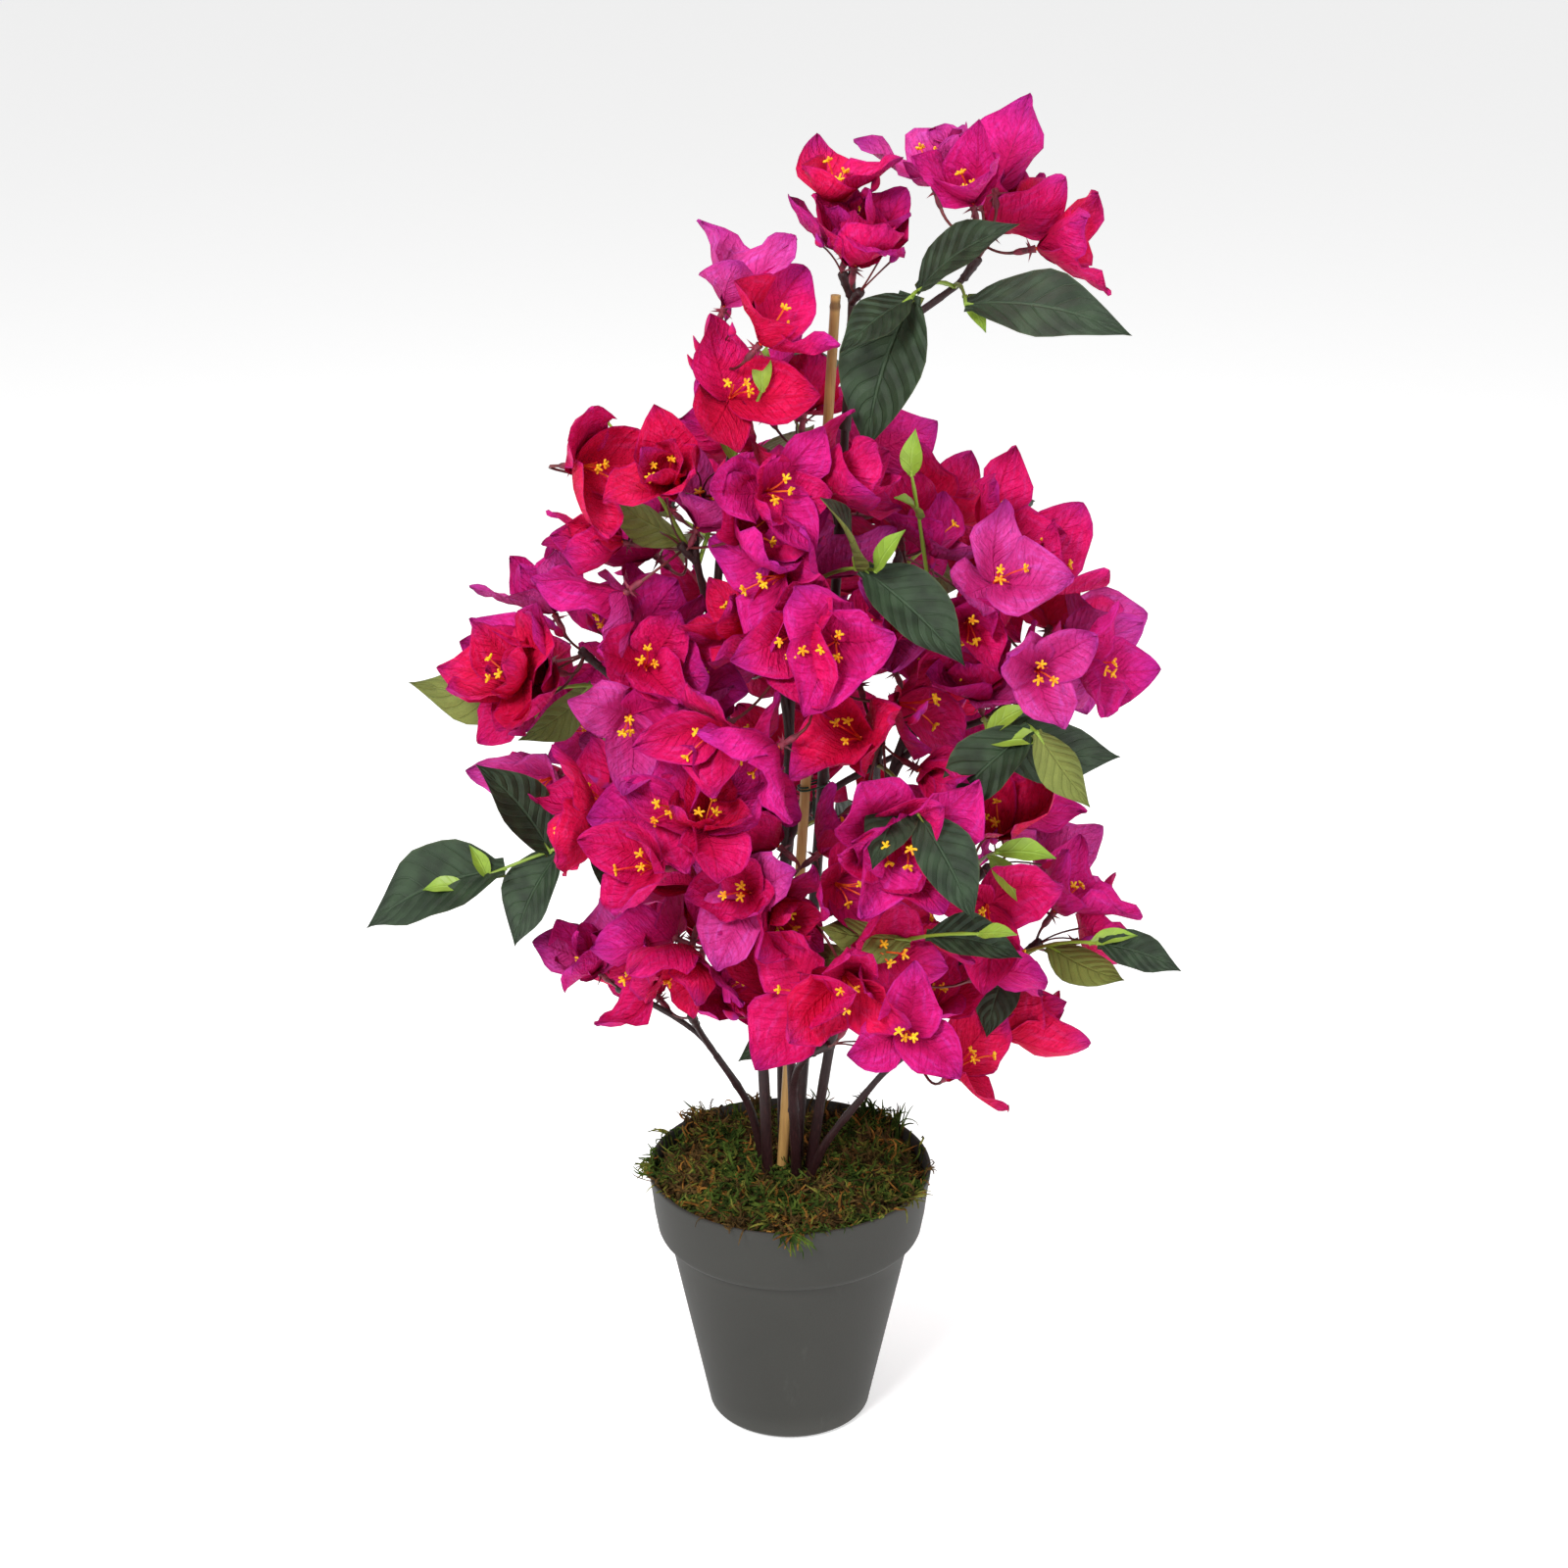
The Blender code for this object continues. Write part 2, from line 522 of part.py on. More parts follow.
def flower_plan(mass, number, count, hub, middle, spread, attempt):
    """Where one flower sits and how it opens, by a seeded rule."""
    rng = random.Random(f"{mass} {number} {attempt}")
    axis = (middle - hub).normalized()
    side = square_to(axis, Vector((0.31, 0.17, 0.93)))
    other = axis.cross(side)
    loose = 1.0 + 0.04 * attempt
    ring = spread * math.sqrt((number % 10 + 0.5) / count) * rng.uniform(0.85, 1.1) * loose
    turn = math.radians(137.5 * number + 360.0 * rng.random() * (0.15 + 0.03 * attempt))
    throat = (middle + side * (ring * math.cos(turn)) + other * (ring * math.sin(turn))
              - axis * (0.30 * ring + 0.004 * loose * rng.uniform(-1.0, 1.0)))
    throat -= axis * BRACT_LENGTH * 0.35
    facing = (throat - hub).normalized() + axis * 0.35 + UP * 0.12
    facing += Vector((rng.uniform(-1, 1), rng.uniform(-1, 1), rng.uniform(-1, 1))) * 0.22
    facing.normalize()
    start_turn = rng.uniform(0.0, math.tau)
    bracts = []
    for n in range(3):
        around = start_turn + math.tau * (n / 3 - 1 / 12) + rng.uniform(-0.07, 0.07)
        opening = math.radians(rng.uniform(*BRACT_OPENING))
        length = BRACT_LENGTH * rng.uniform(0.88, 1.10)
        bracts.append((around, opening, length))
    return throat, facing, start_turn, bracts


def bract_frame(facing, around, opening):
    """A bract's direction, the way across it and its inner side."""
    side = square_to(facing, BRACT_ZERO)
    radial = side * math.cos(around) + facing.cross(side) * math.sin(around)
    along = facing * math.cos(opening) + radial * math.sin(opening)
    inner = facing * math.sin(opening) - radial * math.cos(opening)
    return along, inner.cross(along), inner


def wire_route(foot, throat, facing):
    """From the flower's throat down its calyx and along its wire to the socket."""
    calyx_foot = throat - facing * CALYX_LENGTH
    bend = calyx_foot - facing * (calyx_foot - foot).length * 0.45
    return [throat] + bezier(calyx_foot, bend, foot, 3), [CALYX_R, WIRE_R, WIRE_R, WIRE_R]


def flower_mesh(foot, plan, swell=0.0):
    """A wire with its calyx, and a bract drawn out of each third of the calyx's end.

    swell thickens all of it, for a test of clearance.
    """
    throat, facing, start_turn, bracts = plan
    points, radii = wire_route(foot, throat, facing)
    zero = square_to(facing, BRACT_ZERO)
    side = Matrix.Rotation(start_turn, 3, facing) @ zero
    flower, end = grown(points, [r + swell for r in radii], 3, side)
    thirds = bmesh.ops.poke(flower, faces=[end])["faces"]
    lobes = bmesh.ops.extrude_discrete_faces(flower, faces=thirds)["faces"]
    for lobe in lobes:
        middle = lobe.calc_center_median() - throat
        around = math.atan2(middle.dot(facing.cross(zero)), middle.dot(zero))
        turn, opening, length = max(bracts, key=lambda b: math.cos(around - b[0]))
        draw_bract(flower, lobe, throat, bract_frame(facing, turn, opening), length, swell)
    return mesh_of(flower, "flower")


def draw_bract(flower, lobe, throat, frame, length, swell):
    """Moves a third's corners to the bract's tip and shoulders, and gives it a keel."""
    along, across, inner = frame
    rise = {v: next(e.other_vert(v) for e in v.link_edges if e not in lobe.edges[:])
            for v in lobe.verts}
    tip = min(lobe.verts, key=lambda v: (rise[v].co - throat).length)
    shoulders = [v for v in lobe.verts if v is not tip]
    ways = [math.copysign(1.0, (v.co - throat).dot(across)) for v in shoulders]
    rim = next(e for e in lobe.edges if tip not in e.verts)
    sides = [next(e for e in lobe.edges if tip in e.verts and v in e.verts) for v in shoulders]
    keel = bmesh.utils.edge_split(rim, shoulders[0], 0.5)[1]
    necks = [bmesh.utils.edge_split(edge, v, 0.5)[1] for edge, v in zip(sides, shoulders)]
    for share, width, cup, pair in ((*BRACT_SHOULDER, shoulders), (*BRACT_NECK, necks)):
        for way, vert in zip(ways, pair):
            vert.co = (throat + along * (share * length) + inner * (cup * length)
                       + across * (way * (width * length + swell)))
    tip.co = throat + along * (length + swell) - inner * (BRACT_CURL * length)
    keel_share = BRACT_SHOULDER[0]
    keel.co = (throat + along * (keel_share * length)
               - inner * (BRACT_THICK + swell + BRACT_CURL * keel_share * length))
    split_between(keel, tip)
    for shoulder, neck in zip(shoulders, necks):
        split_between(neck, rise[tip])
        split_between(shoulder, rise[tip])
        split_between(keel, neck)
        split_between(keel, rise[shoulder])


def split_between(one, other):
    face = next(f for f in one.link_faces if other in f.verts)
    bmesh.utils.face_split(face, one, other)


def leaf_mesh(root, along, roll, length, swell=0.0):
    face = square_to(along, UP + Vector((0.0, -0.6, 0.0)))
    face = Matrix.Rotation(math.radians(roll), 3, along) @ face
    return leaf_blade(root - along * LEAF_SINK, along, face, length + swell, LEAF_WIDTH,
                      LEAF_THICK + 2 * swell)


def tree_of(meshes):
    verts, polys = [], []
    for mesh in meshes:
        first = len(verts)
        verts += [v.co.copy() for v in mesh.vertices]
        polys += [[first + i for i in p.vertices] for p in mesh.polygons]
    return BVHTree.FromPolygons(verts, polys)


def discard(meshes):
    for mesh in meshes:
        bpy.data.meshes.remove(mesh)


def is_clear(meshes, obstacles):
    """True if the meshes meet none of the obstacles; the meshes are used up."""
    tree = tree_of(meshes)
    discard(meshes)
    return not any(tree.overlap(other) for other in obstacles)


def folds(mesh):
    """True if the mesh cuts through itself."""
    tree = tree_of([mesh])
    corners = [set(p.vertices) for p in mesh.polygons]
    return any(corners[a].isdisjoint(corners[b]) for a, b in tree.overlap(tree))


def union(name, meshes):
    """One Boolean union joins a mass from its pieces."""
    pieces = new_collection(name + "_pieces")
    for i, mesh in enumerate(meshes[1:]):
        place(f"{name}_{i}", mesh, BRACT_MAGENTA, pieces)
    body = place(name, meshes[0], BRACT_MAGENTA)
    join = body.modifiers.new("join", "BOOLEAN")
    join.operation = "UNION"
    join.operand_type = "COLLECTION"
    join.collection = pieces
    join.solver = "MANIFOLD"
    graph = bpy.context.evaluated_depsgraph_get()
    joined = bpy.data.meshes.new_from_object(body.evaluated_get(graph))
    body.modifiers.clear()
    body.data = largest_island(joined)
    for obj in list(pieces.objects):
        bpy.data.objects.remove(obj)
    bpy.data.collections.remove(pieces)
    return body


def mass_stems(limb, sprays):
    """The first stem grows on from the limb's tip, and the others branch from its foot."""
    route = LIMBS[limb][0]
    out = (route[-1] - route[-2]).normalized()
    foot = route[-1] + out * GAP
    fork = foot + out * FORK_LENGTH
    meshes, sockets = [], []
    for number, (middle, _, _) in enumerate(sprays):
        middle = Vector(middle)
        reach = min(SPRAY_REACH, (fork - middle).length * 0.62)
        hub = middle + (fork - middle).normalized() * reach
        points = bezier(fork, fork + out * (hub - fork).length * 0.35, hub, 3)
        radii = [STEM_R * (1.0 - 0.12 * number)] * 2 + [SOCKET_R]
        if number == 0:
            points.insert(0, foot)
            radii.insert(0, STEM_R)
        else:
            points[0] -= out * FORK_LENGTH * 0.25 * number
        meshes.append(twig_mesh(points, radii, 4))
        sockets.append((hub, (points[-1] - points[-2]).normalized()))
    return meshes, sockets, fork


def wire_foot(socket, number, count):
    """Where a wire is fixed inside its socket."""
    hub, out = socket
    side = square_to(out, BRACT_ZERO)
    turn = math.tau * number / count
    spread = 0.0 if count == 1 else SOCKET_R * 0.5
    radial = side * math.cos(turn) + out.cross(side) * math.sin(turn)
    return hub - out * 0.002 + radial * spread


def leaf_shoot(name, fork, end, leaves, obstacles):
    """A green shoot from the fork with its leaves; what would touch an obstacle is skipped."""
    shoot = bezier(fork, fork.lerp(end, 0.5) + UP * 0.010, end, 4)
    if not is_clear([twig_mesh(shoot, [SHOOT_R + GAP] * 4)], obstacles):
        return []
    meshes = [twig_mesh(shoot, [SHOOT_R] * 4)]
    for leaf in leaves:
        for attempt in range(TRIES):
            plan = leaf_plan(name, shoot, leaf, attempt)
            if is_clear([leaf_mesh(*plan, GAP)], obstacles):
                meshes.append(leaf_mesh(*plan))
                break
    return meshes


def leaf_plan(name, shoot, leaf, attempt):
    """Where one leaf springs from its shoot and how it lies; each try strays further."""
    share, heading, rise, length, roll = leaf
    rng = random.Random(f"{name} {share} {heading} {attempt}")
    span = min(int(share * 3), 2)
    root = shoot[span].lerp(shoot[span + 1], share * 3 - span)
    heading += rng.uniform(-1.5, 1.5) * attempt
    rise += rng.uniform(-1.5, 1.5) * attempt
    return root, heading_vector(heading, rise), roll, length


def seated_flower(name, number, count, socket, spray, obstacles, own):
    """The first of a flower's seeded tries that is clear of all else, or nothing."""
    middle, spread, _ = spray
    foot = wire_foot(socket, number % count, count)
    for attempt in range(TRIES):
        plan = flower_plan(name, number, count, socket[0], Vector(middle), spread, attempt)
        flower = flower_mesh(foot, plan)
        if (is_clear([flower_mesh(foot, plan, GAP)], obstacles) and not folds(flower)
                and (attempt > TRIES * 0.8 or is_clear([flower.copy()], own))):
            return flower
        discard([flower])
    return None


def make_mass(name, obstacles):
    parent, height, sprays = MASSES[name]
    meshes, sockets, fork = mass_stems(parent if height is None else "bough_" + name, sprays)
    own = []
    for end, leaves in SHOOTS.get(name, []):
        grown_on = leaf_shoot(name, fork, Vector(end), leaves, obstacles)
        meshes += grown_on
        own += [tree_of([leaf]) for leaf in grown_on[1:]]
    for row, (socket, spray) in enumerate(zip(sockets, sprays)):
        for number in range(spray[2]):
            flower = seated_flower(name, number + 10 * row, spray[2], socket, spray, obstacles, own)
            if flower:
                meshes.append(flower)
                own.append(tree_of([flower]))
    return union(name, meshes)


def make_masses():
    limbs = {name: tree_of([tube_mesh(route, [r + GAP for r in radii])])
             for name, (route, radii) in LIMBS.items()}
    done = []
    for name in MASSES:
        body = make_mass(name, list(limbs.values()) + done)
        done.append(tree_of([body.data]))


make_pot()
make_moss()
CANE = make_cane()
make_stems()
make_tie(smooth_route([CANE[0][0], CANE[0][-1]], 60), smooth_route(LIMBS["trunk"][0], 8))
make_boughs()
LIMBS["bamboo_cane"] = CANE
make_masses()
bpy.data.collections.remove(CUTTERS)
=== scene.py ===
"""Finished pieces of an artificial bougainvillea in its pot.

The solids of the plant give its stems, boughs and masses of blossom. Here each of
them gets its finished form: moulded stems with relief, sprays of wired flowers whose
three bracts are printed fabric, leaves with veins, a mossy filling and the pot.
The growth rule that seats each flower and leaf is the one that the solids follow.
"""
import functools
import math
import random

import bpy
import numpy as np
from bpy.props import FloatProperty, FloatVectorProperty, IntProperty, PointerProperty
from bpy.types import Operator, Panel, PropertyGroup
from mathutils import Matrix, Vector, noise
from mathutils.bvhtree import BVHTree


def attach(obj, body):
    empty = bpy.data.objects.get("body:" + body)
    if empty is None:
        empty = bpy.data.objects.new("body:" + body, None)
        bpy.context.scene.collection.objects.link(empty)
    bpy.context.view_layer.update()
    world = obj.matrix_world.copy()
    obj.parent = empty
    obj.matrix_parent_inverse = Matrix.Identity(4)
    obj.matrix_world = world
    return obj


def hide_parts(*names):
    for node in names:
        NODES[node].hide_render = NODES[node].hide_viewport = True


bl_info = {
    "name": "Artificial Bougainvillea in a Pot",
    "version": (1, 0, 0),
    "blender": (4, 5, 0),
    "location": "3D View > Sidebar > Bougainvillea",
    "description": "Makes the pot, moss, cane, stems, flowers and leaves of an artificial plant",
    "category": "Object",
}

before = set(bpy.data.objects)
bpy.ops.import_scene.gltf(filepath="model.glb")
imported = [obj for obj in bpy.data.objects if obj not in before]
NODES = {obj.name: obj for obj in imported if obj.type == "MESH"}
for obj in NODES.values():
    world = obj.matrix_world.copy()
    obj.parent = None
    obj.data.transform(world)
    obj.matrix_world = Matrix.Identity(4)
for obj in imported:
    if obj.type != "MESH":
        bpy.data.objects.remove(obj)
UP = Vector((0.0, 0.0, 1.0))
GAP = 0.0003                    # clearance between neighbouring solids

# ------------------------------------------------------- sizes shared with the solids
RIM_Z = 0.159
RIM_R = 0.0825
COLLAR_FOOT_Z = 0.1175
COLLAR_FOOT_R = 0.0775
BODY_TOP_R = 0.0709
BASE_R = 0.0480
WALL = 0.0023
MOSS_EDGE_Z = 0.1500
MOSS_TOP_Z = 0.1530
GROUND_Z = MOSS_TOP_Z + GAP     # the flat cut under every stem
CANE_R = 0.0030
CANE_FOOT = (-0.0050, 0.0010)
CANE_TIP = (0.0235, 0.0010, 0.669)
CANE_NODE_EVERY = 0.128
TIE_Z = 0.394
BRACT_LENGTH = 0.044
BRACT_CURL = 0.05               # how far a bract's tip bends back, as a share of its length
BRACT_OPENING = (49.0, 66.0)    # degrees from the flower's axis
BRACT_ZERO = Vector((0.23, 0.91, 0.35))     # bracts are counted round from this way
LEAF_CURL = 0.10                # how far a leaf's tip hangs, as a share of its length
LEAF_SINK = 0.0003              # how deep a leaf's foot stands in its shoot
CALYX_LENGTH = 0.012
CALYX_R = 0.0021
WIRE_R = 0.0008
SPRAY_REACH = 0.040             # from a socket to the middle of its flowers
MASS_REACH = 0.066              # from a bough's tip to the middle of its mass
SOCKET_R = 0.0027
BOUGH_R = 0.0023
STEM_R = 0.0019
FORK_LENGTH = 0.008
SHOOT_R = 0.0011
TRIES = 40                      # seeded tries to seat a flower clear of all else
SPRAY_HINT = Vector((0.31, 0.17, 0.93))     # a spray's flowers are counted round from this way
GOLDEN_TURN = 137.5             # degrees from one flower of a spray to the next
ON_SOLID = 0.00015              # how near a solid a tip lies that is on it

# ------------------------------------------------- how the finished flowers leave the rule
SPREAD = 1.08                   # a finished bract's length as a share of its solid's
SWING = 0.80                    # how far a flower's wire bends it from the way it was set
SWINGS = 18                     # tries at a bend that keeps the bracts off the leaves
NEAR_LEAF = 2.2 * BRACT_LENGTH  # leaves within this of a flower are looked at
LEAF_ROOM = 0.006               # how far from a leaf is far enough
THROAT_ROOM = 0.014             # how far a flower's throat keeps from a leaf
LEAF_OVAL = 0.24                # a leaf's half width as a share of its length, for its room
WINDOW_LENGTH = 0.13            # how far before the tie the flowers leave it open
TURNED = {                      # flowers that look their own way
    ("upper_left", 3): (0.75, -0.60, 0.15),
}
TURNED_SWING = 0.2
LIFT_BELOW_Z = 0.31             # flowers below this look up
LIFT = 0.30
HANG_Z = 0.282                  # bracts over the pot hang no lower than this
HANG_MOST = 0.018               # but no flower is raised by more than this for it
HANG_X = 0.075                  # half the width that counts as over the pot
OPEN_ABOVE_Z = 0.60             # the sprays above this stand open, with no inner flowers
FEWEST_ROUND_INNER = 3          # and so do sprays of fewer flowers than this
INNER_TRIES = 24
LOWEST_INNER_Z = 0.245          # no inner flower hangs below this
HEART = 0.45 * BRACT_LENGTH     # from a flower's throat to its middle

# Stems: foot (x, y) on the moss, the points they pass, radius at foot and at tip.
STEMS = {
    "trunk": ((0.0035, 0.0045), [(0.0185, 0.0065, 0.40), (0.0270, 0.0060, 0.55),
                                 (0.0315, 0.0030, 0.655)], 0.0035, 0.0020),
    "stem_left": ((-0.0125, -0.0010), [(-0.018, -0.008, 0.28), (-0.030, -0.018, 0.40),
                                       (-0.039, -0.026, 0.505), (-0.030, -0.020, 0.600)],
                  0.0033, 0.0021),
    "stem_right": ((0.0115, 0.0005), [(0.026, -0.008, 0.26), (0.048, -0.014, 0.38),
                                      (0.076, -0.016, 0.475)], 0.0031, 0.0021),
    "stem_front": ((0.0040, -0.0055), [(0.000, -0.030, 0.25), (-0.004, -0.052, 0.31),
                                       (-0.006, -0.066, 0.345)], 0.0028, 0.0021),
    "stem_back": ((-0.0040, 0.0105), [(-0.005, 0.032, 0.28), (-0.001, 0.050, 0.38),
                                      (0.001, 0.062, 0.44)], 0.0031, 0.0021),
    "stem_low_left": ((-0.0150, 0.0085), [(-0.024, 0.004, 0.195), (-0.042, -0.012, 0.235)],
                      0.0026, 0.0020),
    "stem_low_right": ((0.0110, -0.0090), [(0.022, -0.020, 0.185), (0.044, -0.036, 0.225)],
                       0.0027, 0.0020),
}

# Masses: the limb that bears each, the height at which its bough leaves that limb
# (None: it grows on from the limb's tip), and its sprays as
# (middle of the flowers, radius over which they spread, number of flowers).
MASSES = {
    "top_right": ("trunk", 0.600, [((0.121, 0.020, 0.731), 0.021, 4),
                                   ((0.116, 0.012, 0.710), 0.008, 1)]),
    "crown_top": ("trunk", None, [((0.031, 0.000, 0.742), 0.008, 1),
                                  ((0.020, -0.002, 0.710), 0.010, 1),
                                  ((0.042, -0.022, 0.690), 0.006, 1)]),
    "top_left": ("stem_left", None, [((-0.040, -0.022, 0.681), 0.012, 2),
                                     ((-0.030, -0.034, 0.650), 0.006, 1)]),
    "upper_left": ("stem_left", 0.450, [((-0.044, -0.050, 0.616), 0.032, 4),
                                        ((-0.070, -0.044, 0.566), 0.030, 4)]),
    "upper_centre": ("trunk", 0.470, [((-0.002, -0.070, 0.570), 0.028, 3)]),
    "upper_right": ("stem_right", None, [((0.120, -0.022, 0.556), 0.032, 4),
                                         ((0.078, -0.040, 0.548), 0.030, 3)]),
    "right": ("stem_right", 0.400, [((0.158, -0.030, 0.506), 0.030, 4),
                                    ((0.128, -0.050, 0.468), 0.020, 2)]),
    "left": ("stem_left", 0.390, [((-0.142, -0.020, 0.508), 0.025, 4),
                                  ((-0.096, -0.034, 0.506), 0.028, 3)]),
    "centre": ("trunk", 0.400, [((-0.022, -0.088, 0.520), 0.032, 4),
                                ((0.028, -0.090, 0.504), 0.026, 2)]),
    "centre_right": ("stem_right", 0.345, [((0.050, -0.088, 0.484), 0.034, 4)]),
    "mid_left": ("stem_left", 0.330, [((-0.098, -0.066, 0.438), 0.032, 4),
                                      ((-0.056, -0.088, 0.458), 0.032, 4)]),
    "low_front": ("stem_front", None, [((-0.004, -0.112, 0.406), 0.034, 4),
                                       ((-0.058, -0.106, 0.378), 0.030, 3)]),
    "low_front_right": ("stem_front", 0.260, [((0.042, -0.112, 0.374), 0.034, 4)]),
    "low_right": ("stem_right", 0.240, [((0.164, -0.052, 0.342), 0.020, 2)]),
    "mid_right": ("stem_right", 0.290, [((0.132, -0.046, 0.388), 0.032, 4)]),
    "low_right_front": ("stem_low_right", None, [((0.092, -0.076, 0.294), 0.026, 3)]),
    "low_left": ("stem_low_left", None, [((-0.064, -0.064, 0.304), 0.026, 3),
                                         ((-0.122, -0.050, 0.316), 0.006, 1)]),
    "low_middle": ("stem_front", 0.205, [((-0.014, -0.098, 0.318), 0.010, 1),
                                         ((0.040, -0.086, 0.292), 0.010, 1)]),
    "back_top": ("trunk", 0.540, [((-0.008, 0.062, 0.606), 0.032, 4)]),
    "back_upper_left": ("stem_back", 0.390, [((-0.042, 0.080, 0.556), 0.036, 5)]),
    "back_upper_right": ("trunk", 0.440, [((0.076, 0.080, 0.540), 0.036, 5)]),
    "back_centre": ("stem_back", None, [((0.012, 0.116, 0.484), 0.036, 5)]),
    "back_left": ("stem_back", 0.300, [((-0.100, 0.074, 0.440), 0.036, 5)]),
    "back_right": ("stem_back", 0.330, [((0.098, 0.086, 0.428), 0.034, 5)]),
    "back_low": ("stem_back", 0.250, [((0.004, 0.130, 0.372), 0.036, 4)]),
    "back_low_left": ("stem_back", 0.215, [((-0.070, 0.090, 0.312), 0.028, 3)]),
    "back_low_right": ("trunk", 0.210, [((0.078, 0.088, 0.308), 0.028, 3)]),
}

# Leaf shoots of a mass: where the shoot ends, and its leaves as
# (place along the shoot, heading, rise, length, roll), angles in degrees;
# heading 0 points along +X and 90 along -Y. Roll 180 turns the pale underside up.
SHOOTS = {
    "top_right": [((0.060, -0.034, 0.676), [
        (0.80, 20, 40, 0.064, 0), (0.98, 146, -24, 0.048, 0), (0.90, 146, -68, 0.084, 0)]),
        ((0.090, -0.030, 0.672), [(0.98, 12, -4, 0.086, 0), (0.80, 30, -50, 0.022, 0)])],
    "upper_left": [((-0.096, -0.030, 0.612), [
        (0.15, 178, 30, 0.052, 180), (0.80, 185, 20, 0.020, 0), (0.98, 190, -12, 0.022, 0)]),
        ((-0.014, -0.034, 0.630), [(0.55, 150, 60, 0.028, 0), (0.98, 100, 78, 0.024, 0)])],
    "upper_centre": [((0.044, -0.094, 0.550), [
        (0.70, 116, 64, 0.062, 0), (0.80, 25, -34, 0.072, 0), (0.98, 30, 60, 0.028, 0)])],
    "upper_right": [((0.062, -0.050, 0.590), [(0.70, 120, 40, 0.030, 0),
                                              (0.98, 80, 75, 0.026, 0)])],
    "left": [((-0.142, -0.010, 0.452), [
        (0.85, 182, 0, 0.074, 180), (0.40, 200, -44, 0.056, 180), (0.98, 175, -6, 0.026, 0),
        (0.90, 150, -60, 0.020, 0)])],
    "mid_left": [((-0.178, -0.064, 0.362), [
        (0.80, 184, -22, 0.088, 0), (0.60, 158, 58, 0.066, 0), (0.55, 176, -62, 0.066, 0),
        (0.30, 100, -30, 0.040, 0), (0.88, 200, 62, 0.020, 0), (0.98, 185, -4, 0.024, 0)])],
    "right": [((0.102, -0.098, 0.458), [
        (0.70, 4, -2, 0.072, 70), (0.98, 10, 10, 0.032, 0), (0.85, 20, 44, 0.030, 0)]),
        ((0.127, -0.104, 0.466), [(0.90, 162, -40, 0.072, 0), (0.98, 15, -56, 0.048, 180)])],
    "centre_right": [((0.065, -0.132, 0.432), [
        (0.75, 115, -24, 0.050, 0), (0.98, 40, -50, 0.062, 0)])],
    "mid_right": [((0.108, -0.100, 0.398), [(0.98, 5, 0, 0.032, 0),
                                            (0.80, 20, -52, 0.032, 0)])],
    "low_front_right": [((0.098, -0.146, 0.372), [
        (0.62, 5, -8, 0.052, 0), (0.50, 160, 14, 0.054, 180), (0.15, 172, -6, 0.046, 180),
        (0.98, 40, 20, 0.024, 0)])],
    "low_right": [((0.166, -0.084, 0.338), [
        (0.05, 120, -50, 0.046, 0), (0.45, 40, -10, 0.052, 180), (0.98, 5, -14, 0.048, 0),
        (0.90, 0, 14, 0.026, 0)])],
    "low_middle": [((0.010, -0.128, 0.310), [(0.98, 170, -20, 0.042, 0)])],
    "back_top": [((0.000, 0.096, 0.585), [
        (0.60, 255, -30, 0.070, 0), (0.98, 285, 20, 0.074, 0), (0.80, 220, 10, 0.024, 0)])],
    "back_upper_left": [((-0.070, 0.110, 0.520), [
        (0.55, 255, -30, 0.070, 0), (0.98, 240, 4, 0.078, 0), (0.90, 190, 20, 0.022, 0)])],
    "back_upper_right": [((0.100, 0.120, 0.510), [
        (0.55, 280, -40, 0.070, 0), (0.98, 310, 4, 0.078, 0), (0.90, 350, 40, 0.022, 0)])],
    "back_centre": [((0.040, 0.140, 0.440), [
        (0.60, 240, -50, 0.066, 0), (0.98, 290, -10, 0.078, 0)])],
    "back_left": [((-0.120, 0.100, 0.400), [
        (0.60, 260, -40, 0.070, 0), (0.98, 230, -14, 0.078, 0), (0.85, 200, 40, 0.022, 0)])],
    "back_right": [((0.130, 0.110, 0.384), [
        (0.60, 280, -50, 0.066, 0), (0.98, 310, -6, 0.070, 0), (0.85, 350, 40, 0.022, 0)])],
    "back_low": [((0.030, 0.140, 0.318), [
        (0.60, 230, -30, 0.070, 0), (0.98, 300, -24, 0.076, 0)])],
}


# ------------------------------------------------------------- settings a user may change
def colour_setting(name, description, default):
    return FloatVectorProperty(name=name, description=description, subtype="COLOR",
                               size=3, min=0.0, max=1.0, default=default)


